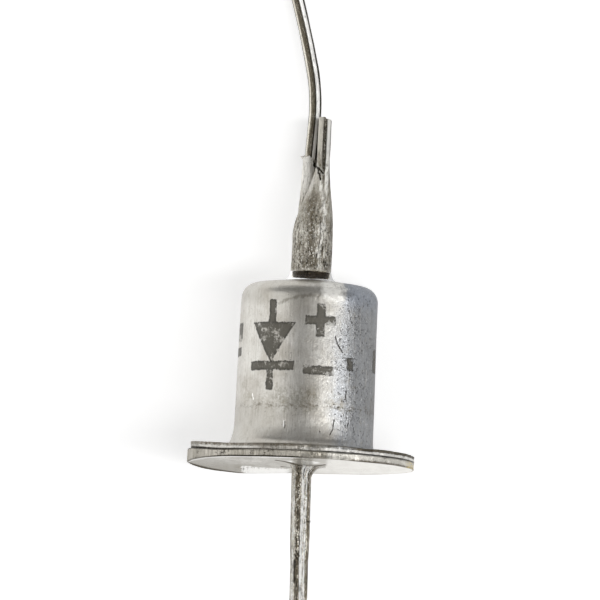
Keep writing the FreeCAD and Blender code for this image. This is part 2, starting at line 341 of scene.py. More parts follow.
def clamped(value):
    """The result of a sum, kept from 0 to 1."""
    value.socket.node.use_clamp = True
    return value


def swing(noise_value, width):
    """Noise as a number about 0, width wide."""
    return (noise_value - 0.5) * width


def rgba(colour):
    """A colour with its alpha, or the output that gives one."""
    if isinstance(colour, Value) or len(colour) == 4:
        return colour
    return (*colour, 1.0)


class Shader:
    """A material under construction. Each call adds a node and returns its output."""

    def __init__(self, name):
        self.material = bpy.data.materials.new(name)
        self.material.use_nodes = True
        self.tree = self.material.node_tree
        self.tree.nodes.clear()
        self.output = self.tree.nodes.new("ShaderNodeOutputMaterial")
        self.std = self.attribute("std", vector=True)
        self.colour = None

    def node(self, kind, inputs=(), output=0, **settings):
        """Any node, from its settings and its inputs by name or number."""
        node = self.tree.nodes.new("ShaderNode" + kind)
        for name, value in settings.items():
            setattr(node, name, value)
        for key, value in dict(inputs).items():
            if isinstance(value, Value):
                self.tree.links.new(value.socket, node.inputs[key])
            else:
                node.inputs[key].default_value = value
        return Value(self, node.outputs[output])

    def attribute(self, name, vector=False):
        """An attribute that the mesh carries."""
        return self.node("Attribute", output="Vector" if vector else "Fac", attribute_name=name)

    def math(self, operation, *values):
        return self.node("Math", enumerate(values), operation=operation)

    def parts(self, vector):
        """The three parts of a vector."""
        first = self.node("SeparateXYZ", {0: vector})
        return [Value(self, output) for output in first.socket.node.outputs]

    def noise(self, factors, detail=4, roughness=0.7, distortion=0.0, seed=0.0, place=None):
        """Noise from 0 to 1, with factors as its fineness along each axis."""
        scaled = self.node("VectorMath", {0: place or self.std, 1: factors}, operation="MULTIPLY")
        inputs = {"Vector": scaled, "W": seed, "Scale": 1.0, "Detail": detail, "Roughness": roughness}
        return self.node("TexNoise", inputs | {"Distortion": distortion}, noise_dimensions="4D")

    def speckle(self, factors, low, high, **settings):
        """Noise cut into patches: 0 at low and 1 at high."""
        return self.step(self.noise(factors, **settings), low, high)

    def step(self, value, low, high, out_low=0.0, out_high=1.0):
        """Smooth step from out_low at low to out_high at high."""
        inputs = enumerate((value, low, high, out_low, out_high))
        return self.node("MapRange", inputs, interpolation_type="SMOOTHSTEP")

    def between(self, value, rise, top, fall, end):
        """1 from top to fall, 0 below rise and above end."""
        return self.step(value, rise, top) * self.step(value, end, fall)

    def mix(self, share, a, b):
        """Colour a where share is 0, b where it is 1."""
        inputs = {"Factor": share, "A": rgba(a), "B": rgba(b)}
        return self.node("Mix", inputs, "Result", data_type="RGBA")

    def paint(self, share, tone):
        """Lays a tone over the colour so far."""
        self.colour = self.mix(share, self.colour, tone)

    def bump(self, height, distance):
        """Normal of a relief that is distance high, in metres."""
        return self.node("Bump", {"Strength": 1.0, "Distance": distance, "Height": height})

    def principled(self, **values):
        """The finished material, from the inputs of its surface and the colour so far."""
        if self.colour is not None:
            values["Base_Color"] = self.colour
        inputs = {name.replace("_", " "): value for name, value in values.items()}
        surface = self.node("BsdfPrincipled", inputs)
        self.tree.links.new(surface.socket, self.output.inputs[0])
        return self.material


# Materials

# Depth of each material's relief in metres
CAN_RELIEF = 0.000014
BASE_RELIEF = 0.000016
TUBE_RELIEF = 0.000042
WIRE_RELIEF = 0.000016
GLASS_RELIEF = 0.00002
INNER_RELIEF = 0.00001

# Height of the broken ring of grime on the can, and centre and reach of the bright solder puddle on the
# underside, painted near white as a highlight
STAIN_RING_HEIGHT = 3.02
POOL_CENTRE = (0.05, -2.6)
POOL_REACH = (0.85, 1.25)

# Colours, as linear red, green and blue
CAN_BLUE_REFLECTION = (0.31, 0.325, 0.35)
CAN_STAIN = (0.36, 0.335, 0.285)
CAN_DRAW_LINE = (0.3, 0.28, 0.24)
CAN_DRAW_SHEEN = (0.82, 0.81, 0.78)
CAN_SKY_REFLECTION = (0.36, 0.41, 0.5)
CAN_SAND = (0.22, 0.205, 0.17)
CAN_FILM = (0.27, 0.245, 0.19)
CAN_RING = (0.14, 0.125, 0.095)
CAN_SOIL = (0.2, 0.182, 0.135)
CAN_PITS = (0.1, 0.095, 0.085)
CAN_SPECKS = (0.86, 0.86, 0.85)
CAN_DIM = (0.25, 0.235, 0.2)
CAN_BURR_LINE = (0.13, 0.115, 0.085)
CAN_RUST = (0.115, 0.095, 0.065)
CAN_RIM_HIGHLIGHT = (0.88, 0.86, 0.81)
CAN_CREST = (0.095, 0.078, 0.052)
CAN_MOTTLE = (0.15, 0.115, 0.085)
CAN_SEAM = (0.04, 0.033, 0.023)
CAN_FOOT_DARK = (0.13, 0.115, 0.085)
CAN_SCRATCH = (0.055, 0.048, 0.038)
CAN_FOLD_SHADE = (0.16, 0.145, 0.115)
CAN_GOUGE = (0.9, 0.89, 0.86)
CAN_GLARE = (0.93, 0.915, 0.865)
CAN_STEEL_DARK = (0.47, 0.445, 0.40)
CAN_STEEL_LIGHT = (0.64, 0.625, 0.585)
INK_EDGE = (0.034, 0.030, 0.021)
INK_INSIDE = (0.088, 0.080, 0.060)
INK_RUBBED = (0.16, 0.15, 0.125)
BASE_STAIN = (0.45, 0.41, 0.34)
BASE_PALE_REFLECTION = (0.92, 0.9, 0.85)
BASE_SHADE = (0.25, 0.225, 0.175)
BASE_BRUSHED = (0.3, 0.27, 0.215)
BASE_WORKED = (0.38, 0.355, 0.295)
BASE_FLUX = (0.13, 0.11, 0.075)
BASE_POOL_HIGHLIGHT = (0.93, 0.92, 0.88)
BASE_STRIP = (0.95, 0.94, 0.91)
BASE_CHIPS = (0.2, 0.18, 0.14)
BASE_OUTLINE = (0.1, 0.085, 0.055)
BASE_REAR = (0.24, 0.2, 0.16)
BASE_EDGE_HIGHLIGHT = (0.95, 0.94, 0.9)
BASE_BURR_LINE = (0.17, 0.152, 0.115)
BASE_SEAM = (0.04, 0.033, 0.023)
BASE_SILL = (0.03, 0.025, 0.016)
BASE_SPOTS = (0.07, 0.06, 0.04)
BASE_BURR = (0.075, 0.06, 0.038)
BASE_GOLD = (0.72, 0.56, 0.16)
BASE_LEFT_DARK = (0.40, 0.375, 0.32)
BASE_LEFT_LIGHT = (0.56, 0.53, 0.47)
BASE_RIGHT_REFLECTION_DARK = (0.53, 0.51, 0.46)
BASE_RIGHT_REFLECTION_LIGHT = (0.66, 0.64, 0.59)
TUBE_PALE = (0.86, 0.84, 0.79)
TUBE_SHADE = (0.17, 0.15, 0.105)
TUBE_STREAK = (0.14, 0.12, 0.085)
TUBE_WORN_HIGHLIGHT = (0.9, 0.88, 0.81)
TUBE_PIT = (0.06, 0.05, 0.033)
TUBE_HOLLOW_SHADE = (0.1, 0.082, 0.055)
TUBE_GLINT = (0.92, 0.9, 0.84)
TUBE_FOOT_PIT = (0.045, 0.037, 0.024)
TUBE_SALT = (0.92, 0.9, 0.83)
TUBE_PEPPER = (0.05, 0.042, 0.027)
TUBE_RIGHT_WALL_HIGHLIGHT = (0.93, 0.92, 0.87)
TUBE_LEFT_WALL_HIGHLIGHT = (0.72, 0.69, 0.61)
TUBE_EDGE_SHADE = (0.04, 0.035, 0.028)
TUBE_GROOVE_LIGHT = (0.34, 0.31, 0.25)
TUBE_GROOVE_DARK = (0.03, 0.025, 0.016)
TUBE_FLECKS = (0.8, 0.77, 0.68)
TUBE_FURROW = (0.05, 0.042, 0.028)
TUBE_SLIVER_HIGHLIGHT = (0.93, 0.92, 0.87)
TUBE_BRINK_SHADE = (0.07, 0.06, 0.042)
TUBE_CRACK = (0.022, 0.017, 0.01)
TUBE_LIP = (0.78, 0.76, 0.71)
TUBE_BURR = (0.55, 0.52, 0.46)
TUBE_GREY_DARK = (0.29, 0.265, 0.215)
TUBE_GREY_LIGHT = (0.46, 0.435, 0.38)
OXIDE_DARK = (0.016, 0.010, 0.005)
OXIDE_LIGHT = (0.050, 0.036, 0.020)
WIRE_HIGHLIGHT = (0.97, 0.96, 0.93)
WIRE_FIBRE_DARK = (0.07, 0.06, 0.04)
WIRE_FIBRE_LIGHT = (0.90, 0.88, 0.83)
WIRE_SPECK_LIGHT = (0.85, 0.82, 0.74)
WIRE_SPECK_DARK = (0.07, 0.06, 0.045)
WIRE_LINE_AND_DARK_REFLECTION = (0.022, 0.018, 0.012)
WIRE_PIT = (0.06, 0.05, 0.035)
GLASS_DARK = (0.66, 0.63, 0.55)
GLASS_LIGHT = (0.85, 0.82, 0.75)
GLASS_BUBBLE = (0.60, 0.58, 0.50)


def burr_lines(s, seed):
    """Upright lines on a sheared rim, fainter on the right."""
    return s.rim * s.speckle((15, 15, 1.0), 0.46, 0.62, detail=3, seed=seed) * s.step(s.x, 1.0, 1.8, 1.0, 0.3)


def can_ground(s):
    """Grey steel with draw lines, and a painted bluish reflection on the right that is bluest at the top
    right.
    """
    s.blotch = s.noise((0.55, 0.55, 0.5), detail=5, roughness=0.6, distortion=0.4, seed=1.3)
    s.fine = s.noise((3.5, 3.5, 2.2), detail=5, roughness=0.65, seed=4.1)
    s.draw = s.noise((13, 13, 0.6), roughness=0.65, seed=2.2)
    s.grain = s.noise((11, 11, 7), seed=7.7)
    s.drift = swing(s.blotch, 2.4)
    # painted reflection: the right side is tinted bluish, and bluest at the top right
    s.blue = s.step(s.x + s.drift, 0.9, 2.0)
    s.colour = s.mix(s.step(s.blotch, 0.36, 0.64), CAN_STEEL_DARK, CAN_STEEL_LIGHT)
    s.paint(s.blue * 0.8, CAN_BLUE_REFLECTION)
    s.paint(s.step(s.fine, 0.5, 0.72) * 0.5, CAN_STAIN)
    s.paint(s.step(s.draw, 0.52, 0.66) * 0.3, CAN_DRAW_LINE)
    s.paint(s.step(s.draw, 0.44, 0.34) * 0.25, CAN_DRAW_SHEEN)
    sky_reflection = s.step(s.x + s.drift, 1.35, 1.9) * s.step(s.z + s.drift, 7.4, 8.6)
    s.paint(sky_reflection * 0.45, CAN_SKY_REFLECTION)
    sand = s.speckle((14, 14, 11), 0.54, 0.66, detail=3, roughness=0.75, seed=3.3)
    s.paint(sand * 0.28, CAN_SAND)


def can_film(s):
    """Brown film in patches below the marks, a broken ring below them, and soil round the ring."""
    patches = s.speckle((1.1, 1.1, 1.6), 0.5, 0.66, detail=5, roughness=0.75, distortion=0.2, seed=5.5)
    s.paint(patches * s.between(s.z, 2.5, 2.9, 3.6, 4.6) * 0.55, CAN_FILM)
    level = s.z + s.noise((0.9, 0.9, 0.0), detail=3, roughness=0.6, seed=5.0) * 0.5
    away = abs(level - STAIN_RING_HEIGHT)
    broken = s.speckle((2.4, 2.4, 2.4), 0.42, 0.58, roughness=0.75, seed=6.3)
    dust = s.speckle((9, 9, 9), 0.5, 0.6, detail=3, seed=6.9)
    ring = s.step(away, 0.1, 0.02) * broken * 0.55
    ring = clamped(ring + s.step(away, 0.34, 0.04) * broken * dust)
    ring = largest(ring, s.step(away, 0.22, 0.06) * dust * s.step(s.x, 1.5, 1.9, 0.0, 0.8))
    s.paint(ring * 0.8, CAN_RING)
    soil_x = s.x + swing(s.fine, 1.4)
    soil = s.between(soil_x, -2.0, -1.3, 0.3, 0.9) * s.between(s.z, 2.0, 2.7, 3.4, 4.0)
    soil = soil * s.speckle((4.5, 4.5, 3.5), 0.44, 0.58, detail=5, roughness=0.8, seed=15.2)
    s.paint(soil * 0.55, CAN_SOIL)


def can_pits(s):
    """Small pits, thick on the bluish side, with bright specks between them."""
    pores = s.noise((11, 11, 8.5), seed=9.4)
    crowd = s.blue * -0.085 + swing(s.blotch, 0.12)
    s.pits = s.step(pores - (0.655 + crowd), 0.0, 0.035)
    s.paint(s.pits * 0.66, CAN_PITS)
    specks = s.step(pores, 0.4, 0.33) * (0.2 + s.blue * 0.5)
    s.paint(specks, CAN_SPECKS)


def can_dim(s):
    """Darker crown and foot at the left."""
    shoulder = s.step(s.z, 7.7, 8.3) * s.step(s.x, 0.2, -0.6)
    foot = s.step(s.z, 3.6, 2.4) * s.step(s.x, -0.8, -1.8)
    s.paint(largest(shoulder, foot) * s.step(s.blotch, 0.3, 0.6, 0.1, 0.34), CAN_DIM)


def can_ink(s):
    """Worn ink: the attribute is the distance to the marks' edge, negative inside."""
    edge = s.attribute("ink") + swing(s.fine, 0.2) + swing(s.grain, 0.16)
    rubbed = s.noise((1.3, 1.3, 1.5), detail=5, roughness=0.75, distortion=0.3, seed=8.8)
    rubbed = rubbed + s.step(s.x, 0.4, 1.2, 0.0, 0.06) * s.step(s.x, 2.0, 1.7)
    worn = s.step(rubbed + swing(s.grain, 0.3), 0.53, 0.62)
    s.ink = s.step(edge, 0.025, -0.025) * (1 - worn * 0.75)
    inside = s.step(edge, -0.02, -0.16)
    ink_tone = s.mix(inside, INK_EDGE, INK_INSIDE)
    ink_tone = s.mix(s.step(s.grain, 0.5, 0.66) * 0.5, ink_tone, INK_RUBBED)
    s.paint(s.ink * 0.93, ink_tone)


def can_rim(s):
    """Burr lines and rust on the rim."""
    s.rim = s.attribute("rim")
    s.lines = burr_lines(s, 12.2)
    s.paint(s.lines * 0.55, CAN_BURR_LINE)
    rust = s.rim * s.speckle((3.0, 3.0, 9), 0.52, 0.62, detail=5, roughness=0.75, seed=11.0)
    s.paint(rust * 0.75, CAN_RUST)


def can_rim_bands(s):
    """Painted highlight on the rim's lower band at both sides, dark crest of the rim, the gap below it, and
    patchy darkening at the wall's foot.
    """
    uneven = s.attribute("level") + swing(s.fine, 0.45)
    middle = s.between(s.x, -3.0, -2.0, 0.4, 1.0)
    sides = largest(s.step(s.x, -2.0, -2.8), s.step(s.x, 0.8, 1.4))
    # painted highlight: the rim's lower band is paled and made less metallic at both sides
    s.pale = s.rim * sides * s.between(uneven, 0.08, 0.2, 0.48, 0.58)
    s.paint(s.pale * 0.75, CAN_RIM_HIGHLIGHT)
    crest = largest(s.step(s.x + s.drift, 1.6, 3.0), middle * 0.65)
    crest = s.rim * s.step(uneven, 0.48, 0.62) * crest
    s.paint(crest * 0.9, CAN_CREST)
    mottle = s.rim * s.step(s.x, -2.0, -2.8) * s.step(uneven, 0.5, 0.62)
    mottle = mottle * s.speckle((5, 5, 7), 0.48, 0.56, roughness=0.75, seed=11.7)
    s.paint(mottle * 0.8, CAN_MOTTLE)
    seam = s.rim * s.step(s.attribute("level"), 0.22, 0.1)
    ends = largest(s.step(s.x, -1.6, -3.6, 0.25, 0.95), s.step(s.x, 0.9, 2.2, 0.25, 0.85))
    s.paint(seam * ends, CAN_SEAM)
    # patchy darkening round the wall's foot, where it meets the flange
    ledge = s.between(s.z, 0.62, 0.7, 0.8, 0.95)
    foot_dark = ledge * s.speckle((1.2, 1.2, 2.0), 0.36, 0.52, seed=13.0)
    s.paint(foot_dark * 0.55, CAN_FOOT_DARK)


def can_scratches(s):
    """Dark and bright scratches and the fold's shade, by their distance attributes."""
    jag = swing(s.grain, 0.1)
    s.scratched = s.step(s.attribute("scratch") + jag, 0.045, 0.01)
    s.paint(s.scratched * 0.9, CAN_SCRATCH)
    # painted shade along the fold line in the crown
    shaded = s.step(s.attribute("fold") + swing(s.fine, 0.45), 0.13, 0.0)
    s.paint(shaded * 0.6, CAN_FOLD_SHADE)
    bright = s.step(s.attribute("gouge") + jag, 0.055, 0.01)
    s.paint(bright, CAN_GOUGE)


def can_glare(s):
    """Painted glare: a bright patch on the right of the crown, crossed by fine strokes."""
    glare_x = s.x + swing(s.fine, 1.1)
    s.glare = s.between(glare_x, 0.35, 0.85, 1.5, 1.85)
    glare_z = s.z + swing(s.fine, 0.7)
    s.glare = s.glare * s.step(glare_z, 7.75, 8.45) * s.step(s.y, 0.0, -0.8)
    strokes = s.speckle((4.0, 4.0, 13), 0.62, 0.5, seed=14.6)
    s.glare = s.glare * (0.5 + strokes * 0.5)
    s.paint(s.glare * 0.95, CAN_GLARE)


def can_finish(s):
    """Metal, roughness and relief."""
    rough = 0.23 + s.fine * 0.2 + s.rim * 0.1 + s.ink * 0.15
    metal = clamped(clamped(1 - s.ink * 0.75 - s.glare * 0.8) - s.pale * 0.55)
    height = s.draw * 0.7 + s.grain * 0.5 - s.pits * 1.6 - s.scratched * 2 + s.fine * 1.1 - s.lines * 1.2
    return s.principled(Metallic=metal, Roughness=rough, Normal=s.bump(height, CAN_RELIEF))


def can_material():
    """Aged tinned steel with stains, a pitted right side under a painted bluish reflection, worn ink,
    scratches, a rusty rim, painted highlights on the crown and rim, and painted shade along a fold in the
    crown.
    """
    s = Shader("tinned_can")
    s.x, s.y, s.z = s.parts(s.std)
    for layer in (can_ground, can_film, can_pits, can_dim, can_ink, can_rim, can_rim_bands,
                  can_scratches, can_glare):
        layer(s)
    return can_finish(s)


def base_ground(s):
    """Tinned steel, brighter on the right with a painted reflection, its underside paled partly by painted
    reflection. The border bends to the left at the back.
    """
    blotch = s.noise((0.45, 0.45, 0.5), roughness=0.55, distortion=0.5, seed=21.0)
    s.fine = s.noise((3.0, 3.0, 3.0), detail=5, roughness=0.6, seed=24.1)
    s.grain = s.noise((11, 11, 11), seed=27.7)
    ripple = s.noise((1.1, 1.1, 1.1), detail=3, roughness=0.6, seed=28.3)
    s.rim = s.attribute("rim")
    s.level = s.attribute("level")
    s.drift = swing(s.fine, 0.5)
    s.wander = swing(ripple, 1.5)
    s.face = s.step(s.level, 0.35, 0.22) * (1 - s.rim)
    # painted reflection: the part right of this border takes lighter tones
    bend = s.step(s.y, -1.0, 5.5) * 1.2
    border = s.x + bend + s.drift * 0.6
    s.right = s.step(border, 1.1, 1.36)
    left_tone = s.mix(s.step(blotch, 0.35, 0.65), BASE_LEFT_DARK, BASE_LEFT_LIGHT)
    s.colour = s.mix(s.right, left_tone, s.mix(s.fine, BASE_RIGHT_REFLECTION_DARK, BASE_RIGHT_REFLECTION_LIGHT))
    s.paint(s.step(s.fine, 0.6, 0.75) * 0.3, BASE_STAIN)
    # the underside is paled: partly the tin's own pale tone, partly painted reflection
    pale_and_reflection = s.face * s.step(s.right, 0.0, 1.0, 0.36, 0.38)
    s.paint(pale_and_reflection, BASE_PALE_REFLECTION)


def base_face(s):
    """The underside is darker towards its left edge at the back, and brushed."""
    chord = root(BASE_RADIUS ** 2 - s.x * s.x)
    s.back = chord - s.y
    s.front = chord + s.y
    fade = s.step(s.x * -0.45 + s.y * 0.35, 0.2, 3.2)
    s.paint(fade * s.face * 0.75, BASE_SHADE)
    brushed = s.speckle((1.6, 0.35, 1.0), 0.42, 0.6, roughness=0.6, distortion=0.5, seed=26.0)
    brushed = brushed * s.face * s.step(s.right, 0.0, 1.0, 0.45, 0.15)
    s.paint(brushed, BASE_BRUSHED)


def base_solder_zone(s):
    """Zone worked by the soldering, with dark flux in curves and a bright solder puddle in front, painted
    near white as a highlight.
    """
    s.worked = s.step(s.x + s.wander, -2.6, -0.6) * s.step(s.right, 1.0, 0.0) * s.face
    s.paint(s.worked * 0.42, BASE_WORKED)
    jag = swing(s.fine, 0.1)
    s.curve = s.step(s.attribute("swirl") + jag, 0.1, 0.02) * s.face
    s.paint(s.curve * 0.85, BASE_FLUX)
    pool_x = (s.x - POOL_CENTRE[0]) / POOL_REACH[0]
    pool_y = (s.y - POOL_CENTRE[1]) / POOL_REACH[1]
    away = pool_x * pool_x + pool_y * pool_y + s.wander
    # solder puddle painted near white as a highlight
    s.pool = s.step(away, 1.25, 0.55) * s.face * (1 - s.curve)
    s.paint(s.pool * 0.9, BASE_POOL_HIGHLIGHT)


def base_edges(s):
    """Chipped bright strip along the back edge, dark outline left of it, and a painted highlight along the
    front edge.
    """
    ragged = s.back + s.wander + swing(s.grain, 1.6)
    strip_x = s.x + s.drift * 1.4 + s.wander * 0.8
    s.strip = s.between(strip_x, -3.1, -2.95, -0.9, -0.45) * s.step(ragged, 3.2, 2.7) * s.face
    s.paint(s.strip * 0.95, BASE_STRIP)
    s.chips = s.speckle((9.0, 1.6, 3.0), 0.5, 0.58, roughness=0.8, seed=31.5)
    s.chips = s.chips * s.strip * largest(s.step(ragged, 2.2, 2.8), s.step(s.x, -2.6, -2.95))
    s.paint(s.chips * 0.8, BASE_CHIPS)
    s.outline = s.step(s.back, 1.15, 0.45) * s.step(s.x, -2.8, -3.1) * s.face
    s.paint(s.outline * 0.85, BASE_OUTLINE)
    rear = s.step(s.back, 0.9, 0.3) * s.step(s.x, 0.3, 1.0) * s.face
    s.paint(rear * 0.5, BASE_REAR)
    # painted highlight along the underside's front edge
    edge_highlight = s.step(s.front, 1.0, 0.4) * s.step(s.x, 0.6, -0.4) * s.face
    s.paint(edge_highlight * 0.8, BASE_EDGE_HIGHLIGHT)


def base_rim(s):
    """Burr lines, the dark seam and lower edge, specks, and a golden spot at the far right."""
    s.lines = burr_lines(s, 22.2)
    s.paint(s.lines * 0.42, BASE_BURR_LINE)
    seam = s.rim * s.step(s.level, 0.78, 0.9)
    s.paint(seam * s.step(s.x, -2.2, -4.0, 0.3, 0.95), BASE_SEAM)
    low = s.z + swing(s.grain, 0.34)
    lower = s.level + swing(s.grain, 0.3)
    places = s.speckle((0.9, 0.9, 0.2), 0.52, 0.6, detail=2, roughness=0.5, seed=33.0)
    places = largest(places, s.between(s.x, -4.5, -4.3, -3.8, -3.5))
    s.sill = s.rim * s.step(lower, 0.25, 0.14) * s.step(s.x, 1.2, -0.6) * s.step(s.x, -5.4, -3.4, 0.35, 1.0)
    s.paint(s.sill * 0.95, BASE_SILL)
    s.spots = s.rim * places * s.speckle((6, 6, 7), 0.54, 0.6, roughness=0.75, seed=31.0)
    s.paint(s.spots * 0.85, BASE_SPOTS)
    burr = s.rim * s.step(low, 0.15, 0.08) * s.step(s.x + s.drift, 1.9, 2.6)
    s.paint(burr * 0.85, BASE_BURR)
    gold = s.rim * s.step(s.x, 5.1, 5.4) * s.speckle((7, 7, 7), 0.52, 0.58, detail=3, seed=35.0)
    s.paint(gold * 0.85, BASE_GOLD)


def base_finish(s):
    """Metal, roughness and relief."""
    plain = largest(s.curve, s.outline, s.worked * 0.25, s.face * s.step(s.right, 0.0, 1.0, 0.3, 0.16))
    plain = plain * (1 - largest(s.pool, s.strip))
    plain = largest(plain * 0.92, largest(s.sill, s.chips) * 0.9)
    rough = 0.22 + s.fine * 0.14 + s.rim * 0.12
    height = s.grain * 0.35 + s.fine * 0.5 - s.lines * 1.6 - s.spots * 1.6 + s.strip * 1.2
    normal = s.bump(height, BASE_RELIEF)
    return s.principled(Metallic=1 - plain, Roughness=rough, Normal=normal, Specular_IOR_Level=0.0)


def base_material():
    """Tinned steel: sheared rim, underside brightened by painted reflection and highlights, with a swirl of
    solder and a chipped edge.
    """
    s = Shader("tinned_base")
    s.x, s.y, s.z = s.parts(s.std)
    for layer in (base_ground, base_face, base_solder_zone, base_edges, base_rim):
        layer(s)
    return base_finish(s)


def tube_ground(s):
    """Blotched grey, pitted towards the foot, pale on the lobe."""
    blotch = s.noise((0.9, 0.9, 0.6), roughness=0.6, distortion=0.3, seed=41.0)
    s.fine = s.noise((5.0, 5.0, 2.2), detail=5, seed=44.1)
    s.grain = s.noise((12, 12, 6), roughness=0.75, seed=47.7)
    s.streak = s.noise((8.5, 8.5, 1.3), seed=40.3)
    s.foot = s.step(s.z, CRIMP_TOP - 1.2, OXIDE_TOP + 0.8)
    s.pores = s.noise((9.5, 9.5, 3.2), seed=42.2)
    s.pits = s.step(s.pores + s.foot * 0.045, 0.585, 0.64)
    s.colour = s.mix(s.step(blotch, 0.35, 0.65), TUBE_GREY_DARK, TUBE_GREY_LIGHT)
    pale = s.step(s.x, 0.05, -0.3) * s.step(s.z, LOBE_TOP - 2.4, LOBE_TOP - 1.2)
    s.paint(pale * 0.85, TUBE_PALE)
    shade = s.step(s.fine, 0.46, 0.62) * (0.75 - pale * 0.5)
    s.paint(shade, TUBE_SHADE)


def tube_wear(s):
    """Streaks and pits, pale streaks that grow into a painted highlight on the ridge, painted shade in the
    hollow, and a broken painted glint.
    """
    s.paint(s.step(s.streak, 0.5, 0.64) * (0.2 + s.foot * 0.45), TUBE_STREAK)
    # painted highlight: pale streaks strongest on the ridge and right of centre near the foot
    high = largest(s.attribute("ridge"), s.foot * s.between(s.x, 0.1, 0.3, 0.5, 0.75))
    s.worn = s.step(s.streak, 0.5, 0.4) * (0.22 + high * 0.78)
    s.paint(s.worn, TUBE_WORN_HIGHLIGHT)
    s.paint(s.pits * (0.3 + s.foot * 0.55), TUBE_PIT)
    # painted shade in the hollow down the front
    hollow_shade = s.step(s.attribute("hollow_shade") + swing(s.fine, 0.75), 0.3, 0.06)
    s.paint(hollow_shade * 0.62, TUBE_HOLLOW_SHADE)
    # painted glint along the ridge line, broken into gaps
    s.glint = s.step(s.attribute("glint") + swing(s.streak, 0.9), 0.17, 0.03)
    gaps = s.step(s.noise((3.2, 3.2, 2.4), roughness=0.75, seed=43.6), 0.44, 0.56, 0.2, 0.85)
    s.paint(s.glint * gaps, TUBE_GLINT)
    s.paint(s.step(s.pores, 0.56, 0.62) * s.foot * 0.7, TUBE_FOOT_PIT)


def tube_sand(s):
    """Salt and pepper of the sandy surface."""
    s.sand = s.noise((12, 12, 8.5), detail=3, roughness=0.75, seed=46.2)
    s.paint(s.step(s.sand, 0.45, 0.36) * (0.28 + s.foot * 0.57), TUBE_SALT)
    s.paint(s.step(s.sand, 0.56, 0.64) * (0.25 + s.foot * 0.55), TUBE_PEPPER)


def tube_tongue(s):
    """Painted highlights on the tongue's right and left walls, painted shade on its right edge, and the
    groove between the walls.
    """
    front = s.step(s.z, CRIMP_TOP + 0.1, CRIMP_TOP + 0.5) * s.step(s.y, -0.85, -1.05)
    # painted highlight on the tongue's right wall, at the front
    s.right = front * s.step(s.x, CRIMP_OFFSET + 0.08, CRIMP_OFFSET + 0.13)
    s.paint(s.right * 0.9, TUBE_RIGHT_WALL_HIGHLIGHT)
    # painted highlight on the tongue's left wall
    left = front * s.step(s.x, CRIMP_OFFSET - 0.04, CRIMP_OFFSET - 0.12)
    s.paint(left * 0.55, TUBE_LEFT_WALL_HIGHLIGHT)
    # painted shade on the tongue's right edge
    s.edge = front * s.step(s.x, CRIMP_OFFSET + 0.275, CRIMP_OFFSET + 0.305)
    s.paint(s.edge * 0.85, TUBE_EDGE_SHADE)
    groove = s.attribute("groove")
    s.broken = s.speckle((9, 9, 5.0), 0.36, 0.56, roughness=0.75, seed=49.0)
    s.paint(groove * 0.55, TUBE_GROOVE_LIGHT)
    s.paint(groove * s.broken * 0.75, TUBE_GROOVE_DARK)
    s.paint(s.step(s.sand, 0.47, 0.4) * groove * 0.75, TUBE_FLECKS)


def tube_below(s):
    """Below the tongue its groove, the painted highlight on its edge and the painted shade beside that run on
    for a while and fade.
    """
    lean = s.x + swing(s.fine, 0.12)
    below = s.step(s.z, CRIMP_TOP + 0.5, CRIMP_TOP + 0.1) * s.step(s.y, -0.6, -0.85)
    furrow = s.between(lean, 0.31, 0.36, 0.45, 0.49) * below * s.step(s.z, CRIMP_TOP - 1.5, CRIMP_TOP - 0.9)
    s.paint(furrow * (0.3 + s.broken * 0.55), TUBE_FURROW)
    # painted highlight below the tongue's right wall
    s.sliver = s.between(lean, 0.46, 0.5, 0.63, 0.67) * below * s.step(s.z, CRIMP_TOP - 2.2, CRIMP_TOP - 1.2)
    s.sliver = s.sliver * s.step(s.pores, 0.6, 0.5, 0.15, 0.9)
    s.paint(s.sliver, TUBE_SLIVER_HIGHLIGHT)
    # painted shade beside it
    brink_shade = s.step(lean, 0.64, 0.69) * below * s.step(s.z, CRIMP_TOP - 1.9, CRIMP_TOP - 0.9)
    s.paint(brink_shade * 0.75, TUBE_BRINK_SHADE)


def tube_cracks(s):
    """Cracks where the lobe tears away, each with a bright lip."""
    crack = s.attribute("crack") + swing(s.grain, 0.22)
    s.cracked = s.step(crack, 0.06, 0.025)
    s.paint(s.cracked, TUBE_CRACK)
    s.paint(s.step(crack, 0.14, 0.06) * (1 - s.cracked) * 0.35, TUBE_LIP)


def tube_oxide(s):
    """Dark oxide where the glass wets the tube, under a bright worn edge."""
    rough_z = s.z + swing(s.grain, 0.06)
    burr = s.between(rough_z, OXIDE_TOP, OXIDE_TOP + 0.03, OXIDE_TOP + 0.1, OXIDE_TOP + 0.16)
    s.paint(burr * 0.45, TUBE_BURR)
    s.oxide = s.step(s.z, OXIDE_TOP + 0.02, OXIDE_TOP - 0.01)
    s.paint(s.oxide, s.mix(s.fine, OXIDE_DARK, OXIDE_LIGHT))


def tube_finish(s):
    """Metal, roughness and relief."""
    metal = clamped(1 - s.oxide * 0.9 - (s.right - s.edge) * 0.8)
    metal = clamped(metal - largest(s.worn, s.glint) * 0.55)
    metal = clamped(metal - s.sliver * 0.6)
    rough = 0.24 + s.fine * 0.22
    height = s.grain * 1.2 + s.fine * 1.6 + s.streak * 1.2 - s.pits * 1.8 - s.cracked * 2.5
    return s.principled(Metallic=metal, Roughness=rough, Normal=s.bump(height, TUBE_RELIEF))


def tube_material():
    """Rough nickel-iron: pits and streaks that thicken towards the foot, dark in the seam, with painted
    highlights and painted shade on its front.
    """
    s = Shader("nickel_iron_tube")
    s.x, s.y, s.z = s.parts(s.std)
    for layer in (tube_ground, tube_wear, tube_sand, tube_tongue, tube_below, tube_cracks, tube_oxide):
        layer(s)
    return tube_finish(s)


